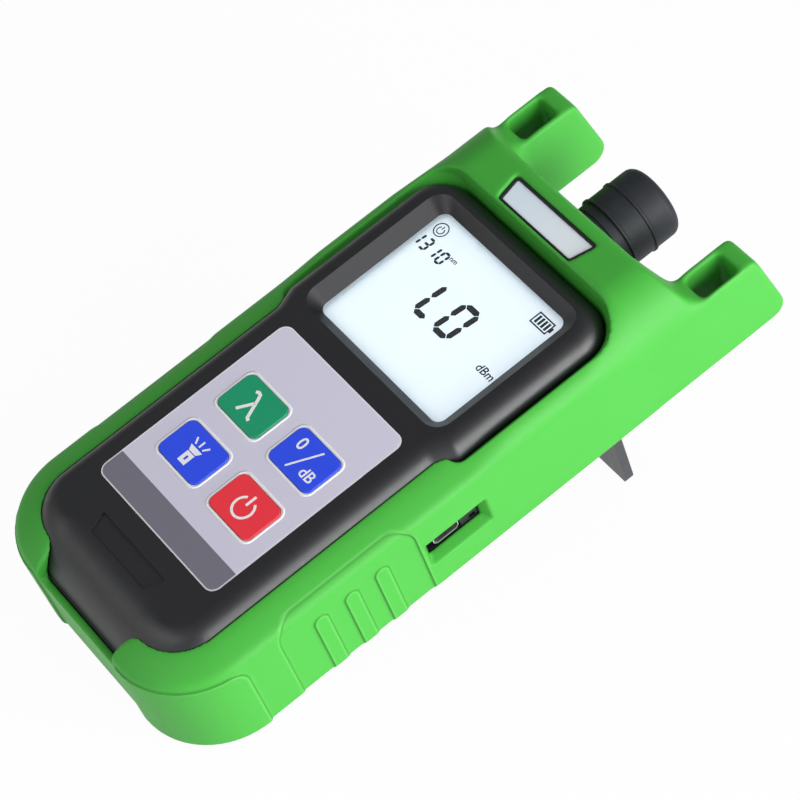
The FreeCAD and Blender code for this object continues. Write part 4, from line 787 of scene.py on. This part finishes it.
def make_key_lines():
    line = {"Width": KEY_W + 2 * LINE_GAP + LINE_W, "Height": KEY_H + 2 * LINE_GAP + LINE_W,
            "Corner": KEY_R + LINE_GAP, "Line": LINE_W, "Thickness": 2 * PRINT_T,
            "Across": 2 * KEY_X, "Along": KEY_ROWS[0] - KEY_ROWS[1]}
    middle = Vector((0.0, sum(KEY_ROWS) / 2, 0.0))
    repeated("key_lines", key_lines, line, middle, WHITE_INK, "meter_body")


def make_battery_bars():
    bars = {"Bars": BATTERY_BARS, "Pitch": BAR_PITCH, "Bar": BAR_W, "Height": BAR_H, "Thickness": PRINT_T}
    left, foot, _, top = BATTERY_SIGN
    first = Vector((left + FIRST_BAR, (foot + top) / 2, CELL_TOP + PRINT_T / 2))
    repeated("battery_bars", battery_bars, bars, first, DISPLAY_INK, "meter_body")


def make_wavelength_mark():
    marks = Marks(KEY_TOP, -KEY_X, KEY_ROWS[0])
    stroke = [(-2.6, 2.9), (-1.85, 3.35), (-1.05, 3.1), (-0.5, 2.15), (1.75, -2.85), (2.65, -3.3)]
    marks.line(stroke, 0.85)
    marks.line([(-0.05, 0.85), (-2.5, -3.3)], 0.85)
    mesh = marks.mesh("wavelength_mark")
    piece("wavelength_mark", mesh, WHITE_INK, "wavelength_key_body")


def make_reference_mark():
    marks = Marks(KEY_TOP, KEY_X, KEY_ROWS[0])
    marks.letters("0", -3.9, 2.1, 4.8)
    marks.line([(-2.2, -4.3), (2.2, 4.3)], 0.50)
    marks.letters("dB", 3.9, -2.3, 4.2)
    mesh = marks.mesh("reference_mark")
    piece("reference_mark", mesh, WHITE_INK, "reference_key_body")


def make_lamp_mark():
    """Torch sign: barrel with its switch, head and three rays."""
    marks = Marks(KEY_TOP, -KEY_X, KEY_ROWS[1])
    marks.line([(-0.85, -3.4), (0.85, -3.4), (0.85, -1.1), (-0.85, -1.1)], 1.0, True)
    marks.tile([(-1.3, -0.35), (1.3, -0.35), (2.2, 1.1), (-2.2, 1.1)])
    marks.line([(0.0, 1.7), (0.0, 3.6)], 0.5)
    marks.line([(-1.4, 1.7), (-2.5, 3.3)], 0.5)
    marks.line([(1.4, 1.7), (2.5, 3.3)], 0.5)
    piece("lamp_mark", marks.mesh("lamp_mark"), WHITE_INK, "lamp_key_body")


def make_power_mark():
    marks = Marks(KEY_TOP, KEY_X, KEY_ROWS[1])
    marks.arc(0.0, -0.4, 2.85, 122, 418, 0.66)
    marks.line([(0.0, 0.4), (0.0, 3.5)], 0.70)
    piece("power_mark", marks.mesh("power_mark"), WHITE_INK, "power_key_body")


make_display_marks()
make_key_lines()
make_battery_bars()
make_wavelength_mark()
make_reference_mark()
make_lamp_mark()
make_power_mark()

# ---------------------------------------------------------------- floor, light, camera

FLOOR_WHITE = 0.965         # share of the floor's white that doesn't depend on the light
FLOOR_HALF = 4.0
WORLD_FILL = 0.23
METER_MIDDLE = Vector((0.0, 0.0, 0.05))
FOCAL_LENGTH, SENSOR_WIDTH = 150.81, 36.0
CAMERA_AT = Vector((451.61, -165.36, 630.61)) * MM         # in the meter's own frame


def camera_seen(f, strength):
    """1 for what the camera, a mirror or a glass looks at, times a strength."""
    path = f.node("ShaderNodeLightPath")
    rays = {output.name: Socket(f, output) for output in path.link.node.outputs}
    seen = rays["Is Camera Ray"].most(rays["Is Glossy Ray"]).most(rays["Is Transmission Ray"])
    return seen * strength


def make_floor():
    """Pale floor that shows white and keeps the soft shadow of the meter."""
    f = Finish("floor_white")
    mottled = f.noise(0.01, 2.0)
    paper = f.node("ShaderNodeBsdfDiffuse", None,
                   {"Color": f.blend(mottled, (0.80, 0.80, 0.80), (0.83, 0.83, 0.83))})
    lit = f.node("ShaderNodeEmission", None, {"Color": (1.0, 1.0, 1.0), "Strength": 1.0})
    mixed = f.node("ShaderNodeMixShader", None, {0: camera_seen(f, FLOOR_WHITE), 1: paper, 2: lit})
    half = FLOOR_HALF
    corners = [(-half, -half, 0), (half, -half, 0), (half, half, 0), (-half, half, 0)]
    mesh = bpy.data.meshes.new("floor")
    mesh.from_pydata(corners, [], [(0, 1, 2, 3)])
    mesh.materials.append(f.show(mixed))
    floor = bpy.data.objects.new("floor", mesh)
    bpy.context.scene.collection.objects.link(floor)


def make_world():
    """White where it is looked at, and a weak even fill for everything it lights."""
    world = bpy.data.worlds.new("studio")
    bpy.context.scene.world = world
    world.use_nodes = True
    tree = world.node_tree
    tree.nodes.clear()
    path = tree.nodes.new("ShaderNodeLightPath")
    shown = tree.nodes.new("ShaderNodeMath")
    shown.operation = "MAXIMUM"
    tree.links.new(path.outputs["Is Camera Ray"], shown.inputs[0])
    tree.links.new(path.outputs["Is Transmission Ray"], shown.inputs[1])
    strength = tree.nodes.new("ShaderNodeMapRange")
    tree.links.new(shown.outputs[0], strength.inputs["Value"])
    strength.inputs["To Min"].default_value = WORLD_FILL
    strength.inputs["To Max"].default_value = 1.0
    sky = tree.nodes.new("ShaderNodeBackground")
    sky.inputs["Color"].default_value = (1.0, 1.0, 1.0, 1.0)
    tree.links.new(strength.outputs[0], sky.inputs["Strength"])
    tree.links.new(sky.outputs[0], tree.nodes.new("ShaderNodeOutputWorld").inputs[0])


def softbox(name, place, width, height, watts):
    """Soft rectangular lamp that faces the meter; places and sizes in metres."""
    lamp = bpy.data.lights.new(name, "AREA")
    lamp.shape = "RECTANGLE"
    lamp.size, lamp.size_y = width, height
    lamp.energy = watts
    made = bpy.data.objects.new(name, lamp)
    bpy.context.scene.collection.objects.link(made)
    way = METER_MIDDLE - Vector(place)
    made.matrix_world = Matrix.Translation(place) @ way.to_track_quat("-Z", "Y").to_matrix().to_4x4()


def make_camera():
    """Camera from the right and above, the meter's head end turned up to the right."""
    lens = bpy.data.cameras.new("camera")
    lens.lens, lens.sensor_width = FOCAL_LENGTH, SENSOR_WIDTH
    lens.clip_start = 0.01
    right = Vector((0.588881, 0.773799, -0.233355))
    down = Vector((0.582196, -0.606397, -0.541601))
    ahead = Vector((-0.560596, 0.183079, -0.807598))
    turn = Matrix((right, -down, -ahead)).transposed().to_4x4()
    made = bpy.data.objects.new("camera", lens)
    bpy.context.scene.collection.objects.link(made)
    made.matrix_world = ROW @ Matrix.Translation(CAMERA_AT) @ turn
    bpy.context.scene.camera = made


make_floor()
make_world()
softbox("key_light", (1.08, 0.36, 0.46), 1.0, 1.0, 24.5)
softbox("top_light", (0.45, 0.45, 1.25), 1.0, 1.0, 0.9)
softbox("front_light", (-0.15, -1.15, 0.65), 1.5, 0.5, 4.8)
make_camera()

bpy.context.scene.view_settings.view_transform = "Standard"
